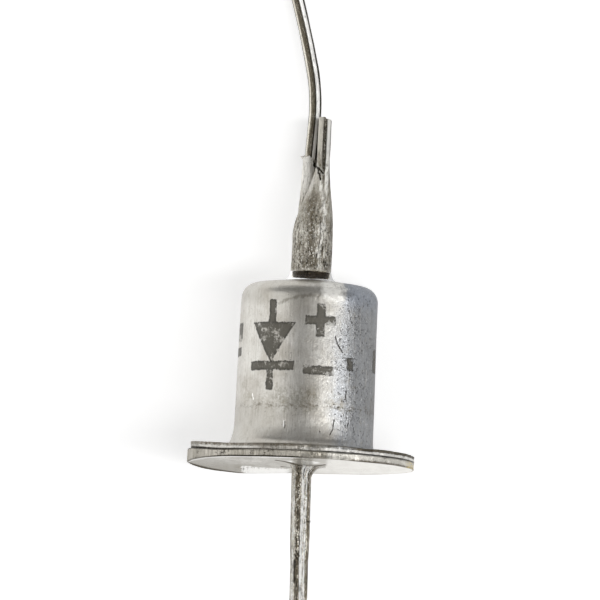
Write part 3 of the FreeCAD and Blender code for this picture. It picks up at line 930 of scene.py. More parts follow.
def wire_material(name, seed, light, dark, tarnish_and_reflection_tone, roughness, relief, streaks):
    """Tinned wire: die lines and tarnished streaks that follow its length, small pits and grains, and bands
    at fixed angles from the front: painted highlights, black lines of painted dark reflection, and dark bands
    that are partly tarnished metal and partly painted reflection.
    """
    s = Shader(name)
    ring = s.attribute("ring", vector=True)
    along = s.noise((3.0, 3.0, 0.22), roughness=0.65, seed=seed, place=ring)
    patch = s.noise((0.9, 0.9, 0.5), roughness=0.6, distortion=0.3, seed=seed + 1.7, place=ring)
    grain = s.noise((5.0, 5.0, 7.5), roughness=0.8, seed=seed + 3.1, place=ring)
    fibres = s.noise((7.0, 7.0, 1.3), detail=3, seed=seed + 4.4, place=ring)
    sprinkle = s.noise((6.0, 6.0, 4.5), detail=3, roughness=0.75, seed=seed + 6.6, place=ring)
    pits = s.speckle((3.5, 3.5, 4.5), 0.6, 0.66, seed=seed + 5.2, place=ring)
    slits = s.speckle((5.0, 5.0, 0.9), 0.57, 0.62, detail=3, seed=seed + 8.8, place=ring)
    ragged = swing(grain, relief)
    tarnish_and_dark_reflection = s.attribute("tarnish_and_dark_reflection")
    # painted highlight: bright bands at fixed angles from the front, pale and less metallic
    painted_highlight = s.step(s.attribute("painted_highlight") + ragged, 0.25, 0.65)
    # dark lines: painted dark reflections at fixed angles from the front, with real slits and marks
    black = largest(s.step(s.attribute("line") + ragged, 0.35, 0.75), slits * streaks)
    s.colour = s.mix(s.step(patch, 0.36, 0.64), dark, light)
    s.paint(s.step(along, 0.5, 0.64) * 0.55, tarnish_and_reflection_tone)
    # dark bands at fixed angles from the front, partly tarnished metal and partly painted reflection of dim
    # surroundings
    s.paint(s.step(tarnish_and_dark_reflection + ragged, 0.15, 0.65) * 0.95, tarnish_and_reflection_tone)
    s.paint(painted_highlight * 0.95, WIRE_HIGHLIGHT)
    s.paint(s.step(fibres, 0.55, 0.66) * streaks, WIRE_FIBRE_DARK)
    s.paint(s.step(fibres, 0.42, 0.34) * streaks, WIRE_FIBRE_LIGHT)
    speckled = s.step(tarnish_and_dark_reflection, 0.05, 0.3) * streaks
    s.paint(s.step(sprinkle, 0.44, 0.38) * speckled, WIRE_SPECK_LIGHT)
    s.paint(s.step(sprinkle, 0.54, 0.6) * speckled, WIRE_SPECK_DARK)
    s.paint(black * 0.95, WIRE_LINE_AND_DARK_REFLECTION)
    s.paint(pits * 0.6, WIRE_PIT)
    metal = 1 - painted_highlight * (1 - black) * 0.8
    height = along * 1.2 + grain * (relief * 1.6) - pits * 0.9 - black * 0.8
    normal = s.bump(height, WIRE_RELIEF)
    return s.principled(Metallic=metal, Roughness=roughness + patch * 0.12, Normal=normal)


def glass_material():
    """Clear glass with a cloudy tone and a few bubbles."""
    s = Shader("sealing_glass")
    cloud = s.noise((3, 3, 3), roughness=0.6, seed=61.0)
    s.colour = s.mix(cloud, GLASS_DARK, GLASS_LIGHT)
    s.paint(s.speckle((16, 16, 16), 0.66, 0.72, detail=2, roughness=0.5, seed=62.0) * 0.5, GLASS_BUBBLE)
    normal = s.bump(cloud, GLASS_RELIEF)
    return s.principled(Roughness=0.02 + cloud * 0.08, IOR=1.07, Transmission_Weight=1.0, Normal=normal)


def inner_material(name, light, dark, roughness, metallic):
    """Plain inner pieces, sealed in the case."""
    s = Shader(name)
    place = s.node("NewGeometry", output="Position")
    grain = s.node("TexNoise", {"Vector": place, "Scale": 3000.0, "Detail": 4.0})
    s.colour = s.mix(grain, dark, light)
    normal = s.bump(grain, INNER_RELIEF)
    return s.principled(Metallic=metallic, Roughness=roughness + grain * 0.2, Normal=normal)


# Marks on the can


def box_distance(u, v, centre, half):
    """Distance to the edge of a box in the plane, negative inside."""
    du = np.abs(u - centre[0]) - half[0]
    dv = np.abs(v - centre[1]) - half[1]
    outside = np.hypot(np.maximum(du, 0), np.maximum(dv, 0))
    return outside + np.minimum(np.maximum(du, dv), 0)


def polygon_distance(u, v, corners):
    """Distance to the edge of a convex polygon given anticlockwise, negative inside."""
    worst = np.full(np.shape(u), -1e9)
    for (ax, ay), (bx, by) in zip(corners, corners[1:] + corners[:1]):
        length = math.hypot(bx - ax, by - ay)
        worst = np.maximum(worst, ((u - ax) * (by - ay) - (v - ay) * (bx - ax)) / length)
    return worst


def line_distance(u, v, points):
    """Distance to a broken line."""
    best = np.full(np.shape(u), 1e9)
    for (ax, ay), (bx, by) in zip(points, points[1:]):
        dx, dy = bx - ax, by - ay
        t = np.clip(((u - ax) * dx + (v - ay) * dy) / (dx * dx + dy * dy), 0, 1)
        best = np.minimum(best, np.hypot(u - ax - t * dx, v - ay - t * dy))
    return best


def nearest_line(u, v, lines):
    """Distance to the nearest of several broken lines."""
    return np.minimum.reduce([line_distance(u, v, line) for line in lines])


def ink_distance(u, v):
    """Generic polarity marks: a diode symbol along the axis, a plus, a minus and plain blocks."""
    stroke = 0.20
    symbol = -1.95
    signs = 0.62
    marks = [
        polygon_distance(u, v, [(symbol - 1.25, 6.95), (symbol, 4.98), (symbol + 1.25, 6.95)]),
        box_distance(u, v, (symbol, 4.78), (1.28, stroke)),
        box_distance(u, v, (symbol, 7.50), (stroke * 0.9, 0.58)),
        box_distance(u, v, (symbol, 4.10), (stroke * 0.9, 0.52)),
        box_distance(u, v, (signs, 7.11), (0.78, stroke)),
        box_distance(u, v, (signs, 7.11), (stroke, 0.80)),
        box_distance(u, v, (signs, 4.60), (0.78, stroke)),
        box_distance(u, v, (2.36, 5.03), (0.17, 0.28)),
        box_distance(u, v, (-4.90, 6.55), (0.50, 0.42)),
        box_distance(u, v, (-4.90, 5.55), (0.45, stroke)),
        box_distance(u, v, (4.75, 5.40), (0.34, 0.58)),
    ]
    return np.minimum.reduce(marks) - 0.03


# Scratches on the wall, as distance round the can from its front and height
DARK_SCRATCHES = [
    [(1.39, 9.13), (1.41, 8.83)],
    [(1.43, 6.36), (1.53, 6.04), (1.67, 5.85), (1.87, 5.59)],
    [(2.18, 3.67), (2.15, 3.26), (2.01, 3.12)],
    [(1.55, 2.19), (1.49, 1.70), (1.33, 1.40)],
    [(0.81, 1.57), (0.83, 1.45)],
    [(-0.98, 1.98), (-0.96, 1.65)],
    [(2.33, 1.88), (2.40, 2.10)],
    [(-5.31, 5.11), (-5.28, 3.82)],
    [(-8.5, 6.12), (-8.1, 4.82)],
    [(8.2, 3.62), (8.0, 2.72), (8.3, 2.22)],
]
BRIGHT_SCRATCHES = [
    [(-3.04, 3.38), (-2.93, 3.09)],
    [(-1.04, 2.02), (-1.03, 1.70)],
    [(0.85, 8.62), (1.15, 8.45), (1.75, 8.34)],
    [(0.75, 8.72), (1.10, 8.66)],
    [(0.95, 8.30), (1.50, 8.12)],
    [(7.0, 7.0), (7.4, 6.2)],
]
FAINT_SCRATCH = [(2.88, 8.52), (2.98, 7.2), (3.08, 5.7)]
FOLDS = [[(-1.60, 7.89), (-1.26, 8.05), (-0.60, 8.27), (0.12, 8.34), (0.61, 8.33)]]

# Dark curves where the solder's swirl ends on the underside, as x and y. They are drawn out along y.
SWIRL_FLATNESS = 0.18
SWIRL_CURVES = [
    [(-1.25, -3.1), (-0.9, -2.4), (-0.40, -1.5), (0.10, -0.80), (0.60, -0.75), (1.22, -1.45)],
    [(-0.95, 1.4), (-0.55, 1.5), (-0.17, 0.9)],
]


# Bands along the wires at fixed angles from the front: dark bands, partly tarnished metal and partly painted
# reflection of dim surroundings, black lines of painted dark reflection, and painted highlights, as (middle,
# half width, strength) in degrees from the front, then how far they wander in degrees, what share of them
# breaks off, and a seed
UPPER_BANDS = {
    "tarnish_and_dark_reflection": ([(-18, 19, 1.0), (-84, 20, 0.8), (78, 30, 1.0), (150, 20, 0.8), (-140, 15, 0.7)], 4, 0.1, 85.0),
    "line": ([(4, 7, 1.0), (-27, 1, 0.6), (70, 26, 1.0), (128, 4, 1.0), (-165, 3, 0.8)], 3, 0.1, 88.0),
    "painted_highlight": ([(29, 18, 1.0), (-62, 6, 0.5), (-170, 12, 0.8)], 3, 0.1, 88.0),
}
LOWER_BANDS = {
    "tarnish_and_dark_reflection": ([(-17, 15, 0.9), (64, 24, 1.0), (-84, 12, 0.6), (140, 20, 0.8), (-130, 15, 0.7)], 6, 0.5, 95.0),
    "line": ([(-18, 6, 0.8), (23, 1, 0.8), (80, 12, 0.7), (120, 4, 0.9), (-160, 3, 0.8)], 6, 0.9, 98.0),
    "painted_highlight": ([(10, 9, 1.0), (30, 5, 0.95), (-46, 6, 0.6), (170, 12, 0.8)], 4, 0.5, 99.0),
}

# A nick and two slanting marks on the lower lead: degrees from the front and distance from the base
LOWER_MARKS = [
    [(44, 2.80), (90, 2.80)],
    [(-25, 4.30), (-2, 4.56)],
    [(-33, 4.48), (-6, 4.74)],
    [(-34, 4.80), (-30, 5.9)],
    [(68, 4.2), (62, 6.2)],
]


# Pieces


def curl(x):
    """How far the left edge of the flange is bent up."""
    return FLANGE_CURL * np.clip((-x - 3.6) / 2.05, 0, 1) ** 2


def sag(x, y):
    """How far the flange is bent down at its far left."""
    return FLANGE_SAG * smooth(-x, 0.0, 3.0) * smooth(y, 0.5, 4.0)


def can_profile():
    """Outer and inner outline of the can as (radius, height)."""
    crown_edge = CAN_TOP - CROWN_RISE
    collar = HOLE_RADIUS + SHEET
    slope = CROWN_RISE / (CAN_TOP_RADIUS - HOLE_RADIUS)
    outer = rounded_profile([
        (HOLE_RADIUS, CAN_TOP, 0),
        (CAN_TOP_RADIUS, crown_edge, SHOULDER_RADIUS),
        (CAN_ROOT_RADIUS, FLANGE_TOP, ROOT_RADIUS),
        (FLANGE_RADIUS, FLANGE_TOP, RIM_ROUNDING),
        (FLANGE_RADIUS, BASE_TOP, SEAM_CHAMFER),
        (CAN_ROOT_RADIUS - SHEET, BASE_TOP, 0),
    ], CAN_SPACING, closed=False)
    inner = rounded_profile([
        (CAN_ROOT_RADIUS - SHEET, BASE_TOP + 0.01, 0),
        (CAN_TOP_RADIUS - SHEET, crown_edge - SHEET, SHOULDER_RADIUS - SHEET),
        (collar, CAN_TOP - SHEET - slope * SHEET, SHEET / 2),
        (collar, CAN_TOP - COLLAR_DEPTH, SHEET / 4),
        (HOLE_RADIUS, CAN_TOP - COLLAR_DEPTH, 0),
    ], INNER_SPACING, closed=False)
    return outer, inner


def can_attributes(u, z, away):
    """Distances to the marks and scratches at u round the can and height z, with away added to each."""
    faint = line_distance(u, z, FAINT_SCRATCH) + 0.03
    return {
        "ink": ink_distance(u, z) + away,
        "scratch": nearest_line(u, z, DARK_SCRATCHES) + away,
        "gouge": np.minimum(nearest_line(u, z, BRIGHT_SCRATCHES), faint) + away,
        "fold": nearest_line(u, z, FOLDS) + away,
    }


def build_can(material):
    """Drawn can: sheared flange, tapered wall with a flared root, shoulder, crown and inner collar."""
    outer, inner = can_profile()
    points, faces = revolve(np.concatenate([outer, inner]), RING_COLUMNS)
    level = (points[:, 2] - BASE_TOP) / (FLANGE_TOP - BASE_TOP)
    r, turn, z = around(points)
    outside = (np.arange(len(points)) < len(outer) * RING_COLUMNS).astype(float)
    # the root flares further out on the left than on the right
    near_wall = smooth(r, CAN_ROOT_RADIUS + 0.9, CAN_ROOT_RADIUS + 0.1)
    root_share = smooth(z, 2.2, FLANGE_TOP) ** 2 * near_wall * (z > FLANGE_TOP + 0.01)
    grow = outside * root_share * (ROOT_FLARE - ROOT_FLARE_LEAN * np.sin(turn))
    # a little out of round, as drawn and handled
    wall = smooth(z, FLANGE_TOP + 0.3, 1.6) * smooth(r, HOLE_RADIUS, 2.6)
    grow += OUT_OF_ROUND * wall * wobble(points, (0.33, 0.33, 0.22), 3.0)
    # sheared rim
    rim = outside * smooth(r, FLANGE_RADIUS - 0.22, FLANGE_RADIUS - 0.02)
    shear = shear_lines(turn, z, 0.05, 34, 5.0)
    lumps = wobble(points, (1.9, 1.9, 3.5), 8.0)
    grow += rim * (CAN_RIM_SHEAR * shear + CAN_RIM_LUMPS * lumps - CAN_RIM_SETBACK)
    widen(points, r, grow)
    on_flange = outside * smooth(r, 4.0, FLANGE_RADIUS) * (z > 0.55)
    points[:, 2] += on_flange * (0.022 * wobble(points, (0.7, 0.7, 0.7), 12.0) - 0.012)
    beyond = outside * smooth(r, CAN_ROOT_RADIUS, CAN_ROOT_RADIUS + 0.5)
    points[:, 2] += beyond * (curl(points[:, 0]) - sag(points[:, 0], points[:, 1]))
    away = np.where((r < CAN_ROOT_RADIUS + 0.05) & (z > 1.0), 0.0, FAR)
    attributes = can_attributes(turn * CAN_ROOT_RADIUS, z, away) | {"rim": rim, "level": level}
    piece = make_piece("can_dressed", points, faces, material, attributes)
    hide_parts("can")


def build_base(material):
    """Base disc: sheared rim, smooth underside with a low swirl round the lead, crystal holder on top."""
    profile = rounded_profile([
        (0.02, 0, 0),
        (BASE_RADIUS, 0, RIM_ROUNDING),
        (BASE_RADIUS, BASE_TOP, SEAM_CHAMFER),
        (PEDESTAL_RADIUS, BASE_TOP, 0),
        (PEDESTAL_RADIUS, PEDESTAL_TOP, 0.02),
        (0.02, PEDESTAL_TOP, 0),
    ], BASE_SPACING)
    points, faces = revolve(profile, RING_COLUMNS)
    level = points[:, 2] / BASE_TOP
    r, turn, z = around(points)
    rim = smooth(r, BASE_RADIUS - 0.12, BASE_RADIUS - 0.03)
    shear = shear_lines(turn, z, 0.04, 40, 15.0)
    lumps = wobble(points, (1.4, 1.4, 3.0), 18.0)
    widen(points, r, rim * (BASE_RIM_SHEAR * shear + BASE_RIM_LUMPS * lumps - BASE_RIM_SETBACK))
    swirl = np.sin(2 * turn + 3.4 * r + 0.6 * wobble(points, 1.1, 19.0))
    swirl *= smooth(r, 2.6, 0.6) * smooth(r, 0.2, 0.7)
    dish = smooth(r, 2.3, 1.2) * 0.025 * (1 + 0.35 * np.sin(turn + 0.9))
    waves = wobble(points, 0.55, 23.0)
    points[:, 2] += (z < UNDERSIDE) * (0.030 - dish + SWIRL_RELIEF * swirl + 0.012 * waves)
    # bent up with the flange on the left, less than it, so that the seam gapes there
    beyond = smooth(r, CAN_ROOT_RADIUS, CAN_ROOT_RADIUS + 0.5)
    points[:, 2] += beyond * curl(points[:, 0]) * np.where(z > BASE_TOP / 2, 0.80, -0.35)
    points[:, 2] -= beyond * sag(points[:, 0], points[:, 1])
    flat_curves = [[(a, SWIRL_FLATNESS * b) for a, b in line] for line in SWIRL_CURVES]
    swirl_edge = nearest_line(points[:, 0], SWIRL_FLATNESS * points[:, 1], flat_curves)
    swirl_edge += np.where(z < UNDERSIDE, 0.0, FAR)
    points[:, 0] -= BASE_SHIFT
    attributes = {"rim": rim, "swirl": swirl_edge, "level": level}
    piece = make_piece("base_disc_dressed", points, faces, material, attributes)
    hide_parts("base_disc")


def build_glass(material):
    """Glass round the tube, with a hollow meniscus."""
    outer = HOLE_RADIUS - 0.004
    inner = TUBE_RADIUS - GLASS_OVERLAP
    bottom = CAN_TOP - GLASS_DEPTH
    lip = CAN_TOP + MENISCUS_HEIGHT
    curve = hollow((outer, CAN_TOP), (TUBE_RADIUS + 0.06, CAN_TOP + 0.05), (TUBE_RADIUS + 0.03, lip), 24)
    profile = [(outer, bottom), (outer, bottom + 0.4)] + curve
    profile += [(inner, lip), (inner, bottom + 0.4), (inner, bottom)]
    points, faces = revolve(np.array(profile), GLASS_COLUMNS)
    turn, z = around(points)[1:]
    points[:, 2] += MENISCUS_WAVE * smooth(z, CAN_TOP, lip) * np.sin(2 * turn + 0.7)
    piece = make_piece("glass_bead_dressed", points, faces, material)
    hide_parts("glass_bead")


def tube_ring(columns):
    """Around the tube: share of the end circles' radius in x and y, and the place along the flat."""
    side = columns // 5
    half = columns // 2 - side
    flat = np.linspace(-1, 1, side, endpoint=False)
    turn = np.linspace(0, math.pi, half, endpoint=False)
    across = np.concatenate([np.ones(side), np.cos(turn), -np.ones(side), -np.cos(turn)])
    along = np.concatenate([np.zeros(side), np.sin(turn), np.zeros(side), -np.sin(turn)])
    end = np.concatenate([flat, np.ones(half), -flat, -np.ones(half)])
    return across, along, end


def tube_rows(heights, ring, inset):
    """Outlines of the tube at the heights, moved in by inset: almost a circle, pressed flat above."""
    across, along, end = ring
    rows = []
    for z, less in zip(heights, inset):
        flattening = float(smooth(z, CRIMP_BOTTOM, CRIMP_TOP))
        pressed = math.pi / 2 * (TUBE_RADIUS - TONGUE_HALF_X)
        flat = LEAST_HALF_FLAT + (pressed - LEAST_HALF_FLAT) * flattening
        radius = TUBE_RADIUS + (TONGUE_HALF_X - TUBE_RADIUS) * flattening - less
        x = CRIMP_OFFSET * flattening + radius * across
        rows.append(np.stack([x, flat * end + radius * along, np.full(len(x), z)], -1))
    return np.concatenate(rows)


def seam_share(points, wide=0.12, narrow=0.04):
    """1 on the seam across the tongue's end, 0 beside it."""
    return smooth(np.abs(points[:, 0] - SEAM_X), wide, narrow)


def capped(points, columns):
    """The tube's points with rings that close its end and dip into the seam, and the faces of these rings."""
    edge = points[-columns:]
    middle = np.array([CRIMP_OFFSET, 0.0, TONGUE_TOP - 0.05])
    rings = [points]
    for share in CAP_SHARES:
        ring = middle + (edge - middle) * share
        ring[:, 2] = edge[:, 2] + 0.012 * (1 - share) - 0.15 * seam_share(ring, 0.10, 0.03)
        rings.append(ring)
    rings.append(middle[None, :] - np.array([[0, 0, 0.12]]))
    first = len(points) - columns
    faces = (first + grid_faces(len(CAP_SHARES) + 1, columns, False)).tolist()
    last = first + columns * len(CAP_SHARES)
    tip = last + columns
    faces += [(last + c, tip, last + (c + 1) % columns) for c in range(columns)]
    return np.concatenate(rings), faces


def build_tube(material):
    """Tube that is round in the glass and pressed flat above, with the seam in its tongue."""
    heights = np.concatenate([
        np.linspace(TUBE_BOTTOM, OXIDE_TOP - 0.012, 8),
        np.linspace(OXIDE_TOP, CRIMP_BOTTOM, 34),
        np.linspace(CRIMP_BOTTOM + 0.05, TONGUE_TOP - 0.04, 150),
        [TONGUE_TOP - 0.012, TONGUE_TOP],
    ])
    inset = np.where(heights < OXIDE_TOP - 0.01, 0.012, -0.008)
    inset += 0.03 * smooth(heights, TONGUE_TOP - 0.06, TONGUE_TOP)
    points = tube_rows(heights, tube_ring(TUBE_COLUMNS), inset)
    x, y, z = points.T.copy()
    centre_x = CRIMP_OFFSET * smooth(z, CRIMP_BOTTOM, CRIMP_TOP)
    # the seam between the two pressed walls, on both edges and across the end
    flat = smooth(z, CRIMP_TOP - 1.0, CRIMP_TOP + 0.2)
    off = x - SEAM_X
    groove = flat * smooth(np.abs(off), 0.13, 0.03) * smooth(np.abs(y), 0.9, 1.3)
    points[:, 1] -= np.sign(y) * 0.16 * groove
    # the right wall ends a little lower than the left one
    end = smooth(z, TONGUE_TOP - 0.5, TONGUE_TOP)
    points[:, 2] -= end * TONGUE_STEP * smooth(off, -0.05, 0.05)
    points[:, 2] += end * 0.02 * wobble(points, (3.0, 3.0, 0.1), 31.0)
    # dents and ridges of the crimp
    crimped = smooth(z, CRIMP_BOTTOM + 0.3, CRIMP_BOTTOM + 2.0)
    ridge = np.exp(-(((x - 0.30 - 0.10 * (13.82 - z)) / 0.10) ** 2)) * crimped * smooth(z, 15.62, 14.22)
    points[:, 1] += np.sign(y + 1e-9) * 0.05 * ridge
    soft = wobble(points, (1.2, 1.2, 0.7), 33.0)
    pebble = wobble(points, (5.5, 5.5, 2.4), 37.0)
    out = np.stack([x - centre_x, y], -1)
    push = smooth(z, OXIDE_TOP, OXIDE_TOP + 0.2) * (0.018 * soft + 0.009 * pebble)
    push /= np.maximum(np.linalg.norm(out, axis=1), 0.1)
    points[:, :2] += out * push[:, None]
    points, cap = capped(points, TUBE_COLUMNS)
    groove = np.concatenate([groove, seam_share(points[len(groove):])])
    ridge = np.concatenate([ridge, np.zeros(len(points) - len(ridge))])
    faces = grid_faces(len(heights), TUBE_COLUMNS, False).tolist() + cap + [tuple(range(TUBE_COLUMNS))]
    attributes = tube_attributes(points, groove, ridge)
    piece = make_piece("crimped_tube_dressed", points, faces, material, attributes)
    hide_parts("crimped_tube")


# Line of the painted highlight along a ridge and line of the painted shade in a hollow on the tube's front,
# as x and height
TUBE_GLINT_LINE = [(0.28, 14.1), (0.44, 13.5), (0.53, 12.7), (0.47, 11.7), (0.37, 10.7), (0.35, 10.0)]
TUBE_SHADE_LINE = [(0.0, 13.6), (-0.12, 12.9), (-0.10, 12.0), (-0.05, 11.2), (-0.05, 10.1)]

# Cracks where the lobe tears away from the tongue, as x and height
CRACKS = [
    [(-0.12, 15.44), (-0.08, 15.34), (-0.12, 15.28), (-0.06, 15.20)],
    [(-0.10, 15.30), (0.02, 15.10), (0.14, 14.92), (0.12, 14.80), (0.22, 14.60), (0.26, 14.40)],
    [(0.12, 15.00), (0.24, 14.90), (0.36, 14.74)],
]


def tube_attributes(points, groove, ridge):
    """Attributes for the tube's material: distances to the marks on it, and the given shares."""
    x, y, z = points.T
    back = np.where(y < 0, 0.0, FAR)
    return {
        "groove": groove,
        "ridge": ridge,
        "crack": nearest_line(x, z, CRACKS) + back,
        "glint": line_distance(x, z, TUBE_GLINT_LINE) + back,
        "hollow_shade": line_distance(x, z, TUBE_SHADE_LINE) + back,
    }


def build_lobe(material):
    """Lobe of the tube's wall that wraps the upper lead: a tapering skin whose upper edge is torn."""
    angle = np.arange(LOBE_COLUMNS) * 2 * math.pi / LOBE_COLUMNS
    torn = 0.05 * np.sin(3 * angle + 0.6) + 0.035 * np.sin(7 * angle + 1.1) + 0.02 * np.sin(17 * angle)
    slope = -0.10 * np.cos(angle)
    burr = 0.14 * np.exp(-((np.angle(np.exp(1j * (angle - math.pi))) / 0.16) ** 2))
    rows = []
    shares = np.linspace(0, 1, 70)
    for share in shares:
        radius = LOBE_FOOT_RADIUS + (LOBE_TOP_RADIUS - LOBE_FOOT_RADIUS) * share
        top = LOBE_TOP + (torn + slope) - 0.02
        lip = smooth(share, 0.96, 1.0) * burr
        z = LOBE_FOOT + (top - LOBE_FOOT) * share + lip * 0.3
        reach = radius + lip
        rows.append(np.stack([LOBE_X + reach * np.cos(angle), reach * np.sin(angle), z], -1))
    for inset, down in ((0.03, 0.0), (0.05, 0.03), (0.06, 0.3)):
        ring = rows[len(shares) - 1].copy()
        ring[:, 0] = LOBE_X + (LOBE_TOP_RADIUS - inset) * np.cos(angle)
        ring[:, 1] = (LOBE_TOP_RADIUS - inset) * np.sin(angle)
        ring[:, 2] -= down
        rows.append(ring)
    points = np.concatenate(rows)
    soft = wobble(points, (2.0, 2.0, 0.9), 43.0)
    pebble = wobble(points, (6.0, 6.0, 2.6), 47.0)
    push = 0.012 * soft + 0.008 * pebble
    out = points[:, :2] - np.array([LOBE_X, 0])
    points[:, :2] += out / np.linalg.norm(out, axis=1)[:, None] * push[:, None]
    faces = grid_faces(len(rows), LOBE_COLUMNS, False).tolist() + [tuple(range(LOBE_COLUMNS))]
    none = np.zeros(len(points))
    piece = make_piece("crimped_tube_lobe", points, faces, material, tube_attributes(points, none, none))


def rounded_route(points, spacing):
    """Points along straight runs joined by tangent arcs, each reaching 0.45 of the shorter run."""
    points = [Vector(p) for p in points]
    path = [points[0]]
    for before, here, after in zip(points, points[1:], points[2:]):
        back = (before - here).normalized()
        ahead = (after - here).normalized()
        half = back.angle(ahead) / 2
        reach = 0.45 * min((before - here).length, (after - here).length)
        radius = reach * math.tan(half)
        centre = here + (back + ahead).normalized() * (radius / math.sin(half))
        first = here + back * reach - centre
        turn = math.pi - 2 * half
        axis = first.cross(here + ahead * reach - centre).normalized()
        steps = max(3, int(radius * turn / spacing))
        for k in range(steps + 1):
            path.append(centre + Matrix.Rotation(turn * k / steps, 3, axis) @ first)
    path.append(points[-1])
    dense = [path[0]]
    for a, b in zip(path, path[1:]):
        steps = max(1, int((b - a).length / spacing))
        for k in range(1, steps + 1):
            dense.append(a.lerp(b, k / steps))
    return dense


def above_table(x, z, height):
    """Point of the standing frame at x and z that lies at a given height above the table."""
    tilt = math.radians(TILT)
    y = (LAID_ORIGIN[2] - height - z * math.sin(tilt)) / math.cos(tilt)
    return (x, y, z)


def sweep(path, radius, columns, shape, end_rounding):
    """Round bar along a path. shape gives the growth in radius from the distance along and the angle."""
    tangents = []
    for i in range(len(path)):
        a = path[max(0, i - 1)]
        b = path[min(len(path) - 1, i + 1)]
        tangents.append((b - a).normalized())
    side = Vector((1, 0, 0))
    side = (side - tangents[0] * side.dot(tangents[0])).normalized()
    angle = np.arange(columns) * 2 * math.pi / columns
    rows = []
    rings = []
    travelled = 0.0
    total = sum((b - a).length for a, b in zip(path, path[1:]))
    for i, (p, t) in enumerate(zip(path, tangents)):
        if i:
            travelled += (p - path[i - 1]).length
        side = (side - t * side.dot(t)).normalized()
        up = t.cross(side)
        left = total - travelled
        shrink = 0.0
        if left < end_rounding:
            shrink = end_rounding - math.sqrt(max(0, end_rounding ** 2 - (end_rounding - left) ** 2))
        reach = radius + shape(travelled, angle) - shrink
        outward = np.outer(np.cos(angle), side) + np.outer(np.sin(angle), up)
        rows.append(np.array(p)[None, :] + reach[:, None] * outward)
        rings.append(np.concatenate([outward[:, :2], np.full((columns, 1), travelled)], 1))
    points = np.concatenate(rows)
    faces = grid_faces(len(rows), columns, False).tolist()
    faces.append(tuple(reversed(range(columns))))
    last = len(points) - columns
    faces.append(tuple(range(last, last + columns)))
    return points, faces, np.concatenate(rings)


def lengthwise(ring, bands, wander, breaks, seed):
    """How strongly each point lies in the bands of a wire."""
    turn = np.degrees(np.arctan2(ring[:, 0], -ring[:, 1]))
    share = np.zeros(len(ring))
    for k, (middle, half, strength) in enumerate(bands):
        level = np.stack([ring[:, 2], ring[:, 2] * 0, ring[:, 2] * 0], -1)
        drift = wander * wobble(level, 0.35, seed + 7.0 * k)
        away = np.abs((turn - middle - drift + 180) % 360 - 180)
        kept = np.clip(1 - breaks * (0.35 + 0.9 * wobble(level, 1.9, seed + 31.0 + 5.0 * k)), 0, 1)
        share = np.maximum(share, strength * kept * smooth(away, half + 7, half - 5))
    return share


def band_attributes(ring, bands, strength=1.0):
    """Attributes for wire_material: the ring itself and the strength of each kind of band."""
    return {"ring": ring} | {kind: strength * lengthwise(ring, *given) for kind, given in bands.items()}


def build_upper_lead(material):
    """Upper lead: out of the lobe, past the tongue and away to the left, down onto the table."""
    route = [
        (LOBE_X, 0.0, CRIMP_TOP - 1.0),
        (LOBE_X, 0.0, CRIMP_TOP + 0.15),
        (-UPPER_LEAD_RADIUS / 3, 0.0, TONGUE_TOP + 1.3),
        above_table(BEND_X, TONGUE_TOP + BEND_RISE, BEND_ABOVE_TABLE),
        to_standing(UPPER_LEAD_TIP),
    ]
    path = rounded_route(route, WIRE_SPACING)

    def shape(travelled, angle):
        kinks = 0.010 * math.sin(1.7 * travelled + 1.0) + 0.006 * math.sin(4.3 * travelled)
        return kinks * np.cos(2 * angle + 0.5 * travelled) * 0.6 - 0.004

    points, faces, ring = sweep(path, UPPER_LEAD_RADIUS, UPPER_LEAD_COLUMNS, shape, UPPER_END_ROUNDING)
    piece = make_piece("upper_lead_dressed", points, faces, material, band_attributes(ring, UPPER_BANDS))
    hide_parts("upper_lead")


def build_lower_lead(material):
    """Lower lead: unevenly tinned wire straight out of the base, leaning a little to the right."""
    lean = math.radians(LOWER_LEAD_LEAN)
    end = Vector((math.sin(lean), 0, -math.cos(lean))) * LOWER_LEAD_LENGTH
    path = rounded_route([(0, 0, 0), end], WIRE_SPACING)

    def shape(travelled, angle):
        ring = np.stack([np.cos(angle), np.sin(angle), np.full(len(angle), travelled * 0.16)], -1)
        lumps = wobble(ring, (1.7, 1.7, 1.0), 51.0)
        facets = wobble(ring, (3.2, 3.2, 2.4), 57.0)
        nick = NICK_HEIGHT * math.exp(-(((travelled - NICK_PLACE) / NICK_HALF_WIDTH) ** 2))
        nick = nick * np.clip(np.cos(angle), 0, 1)
        coat = TINNING * (1 - float(smooth(travelled, 3.6, 5.0)))
        return 0.022 * lumps + 0.014 * facets + nick + coat

    points, faces, ring = sweep(path, LOWER_LEAD_RADIUS, LOWER_LEAD_COLUMNS, shape, LOWER_END_ROUNDING)
    u = np.arctan2(ring[:, 0], -ring[:, 1]) * LOWER_LEAD_RADIUS
    drawn = [[(math.radians(a) * LOWER_LEAD_RADIUS, b) for a, b in line] for line in LOWER_MARKS]
    marks = smooth(nearest_line(u, ring[:, 2], drawn), 0.07, 0.02)
    attributes = band_attributes(ring, LOWER_BANDS)
    # the real nick and slanting marks join the black line bands, which are painted dark reflections
    attributes["line"] = np.maximum(attributes["line"], marks)
    piece = make_piece("lower_lead_dressed", points, faces, material, attributes)
    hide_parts("lower_lead")


def ring_of(points):
    """The ring attribute for a piece turned about the case's axis."""
    r = np.maximum(np.hypot(points[:, 0], points[:, 1]), 1e-6)
    return np.stack([points[:, 0] / r, points[:, 1] / r, -points[:, 2]], -1)


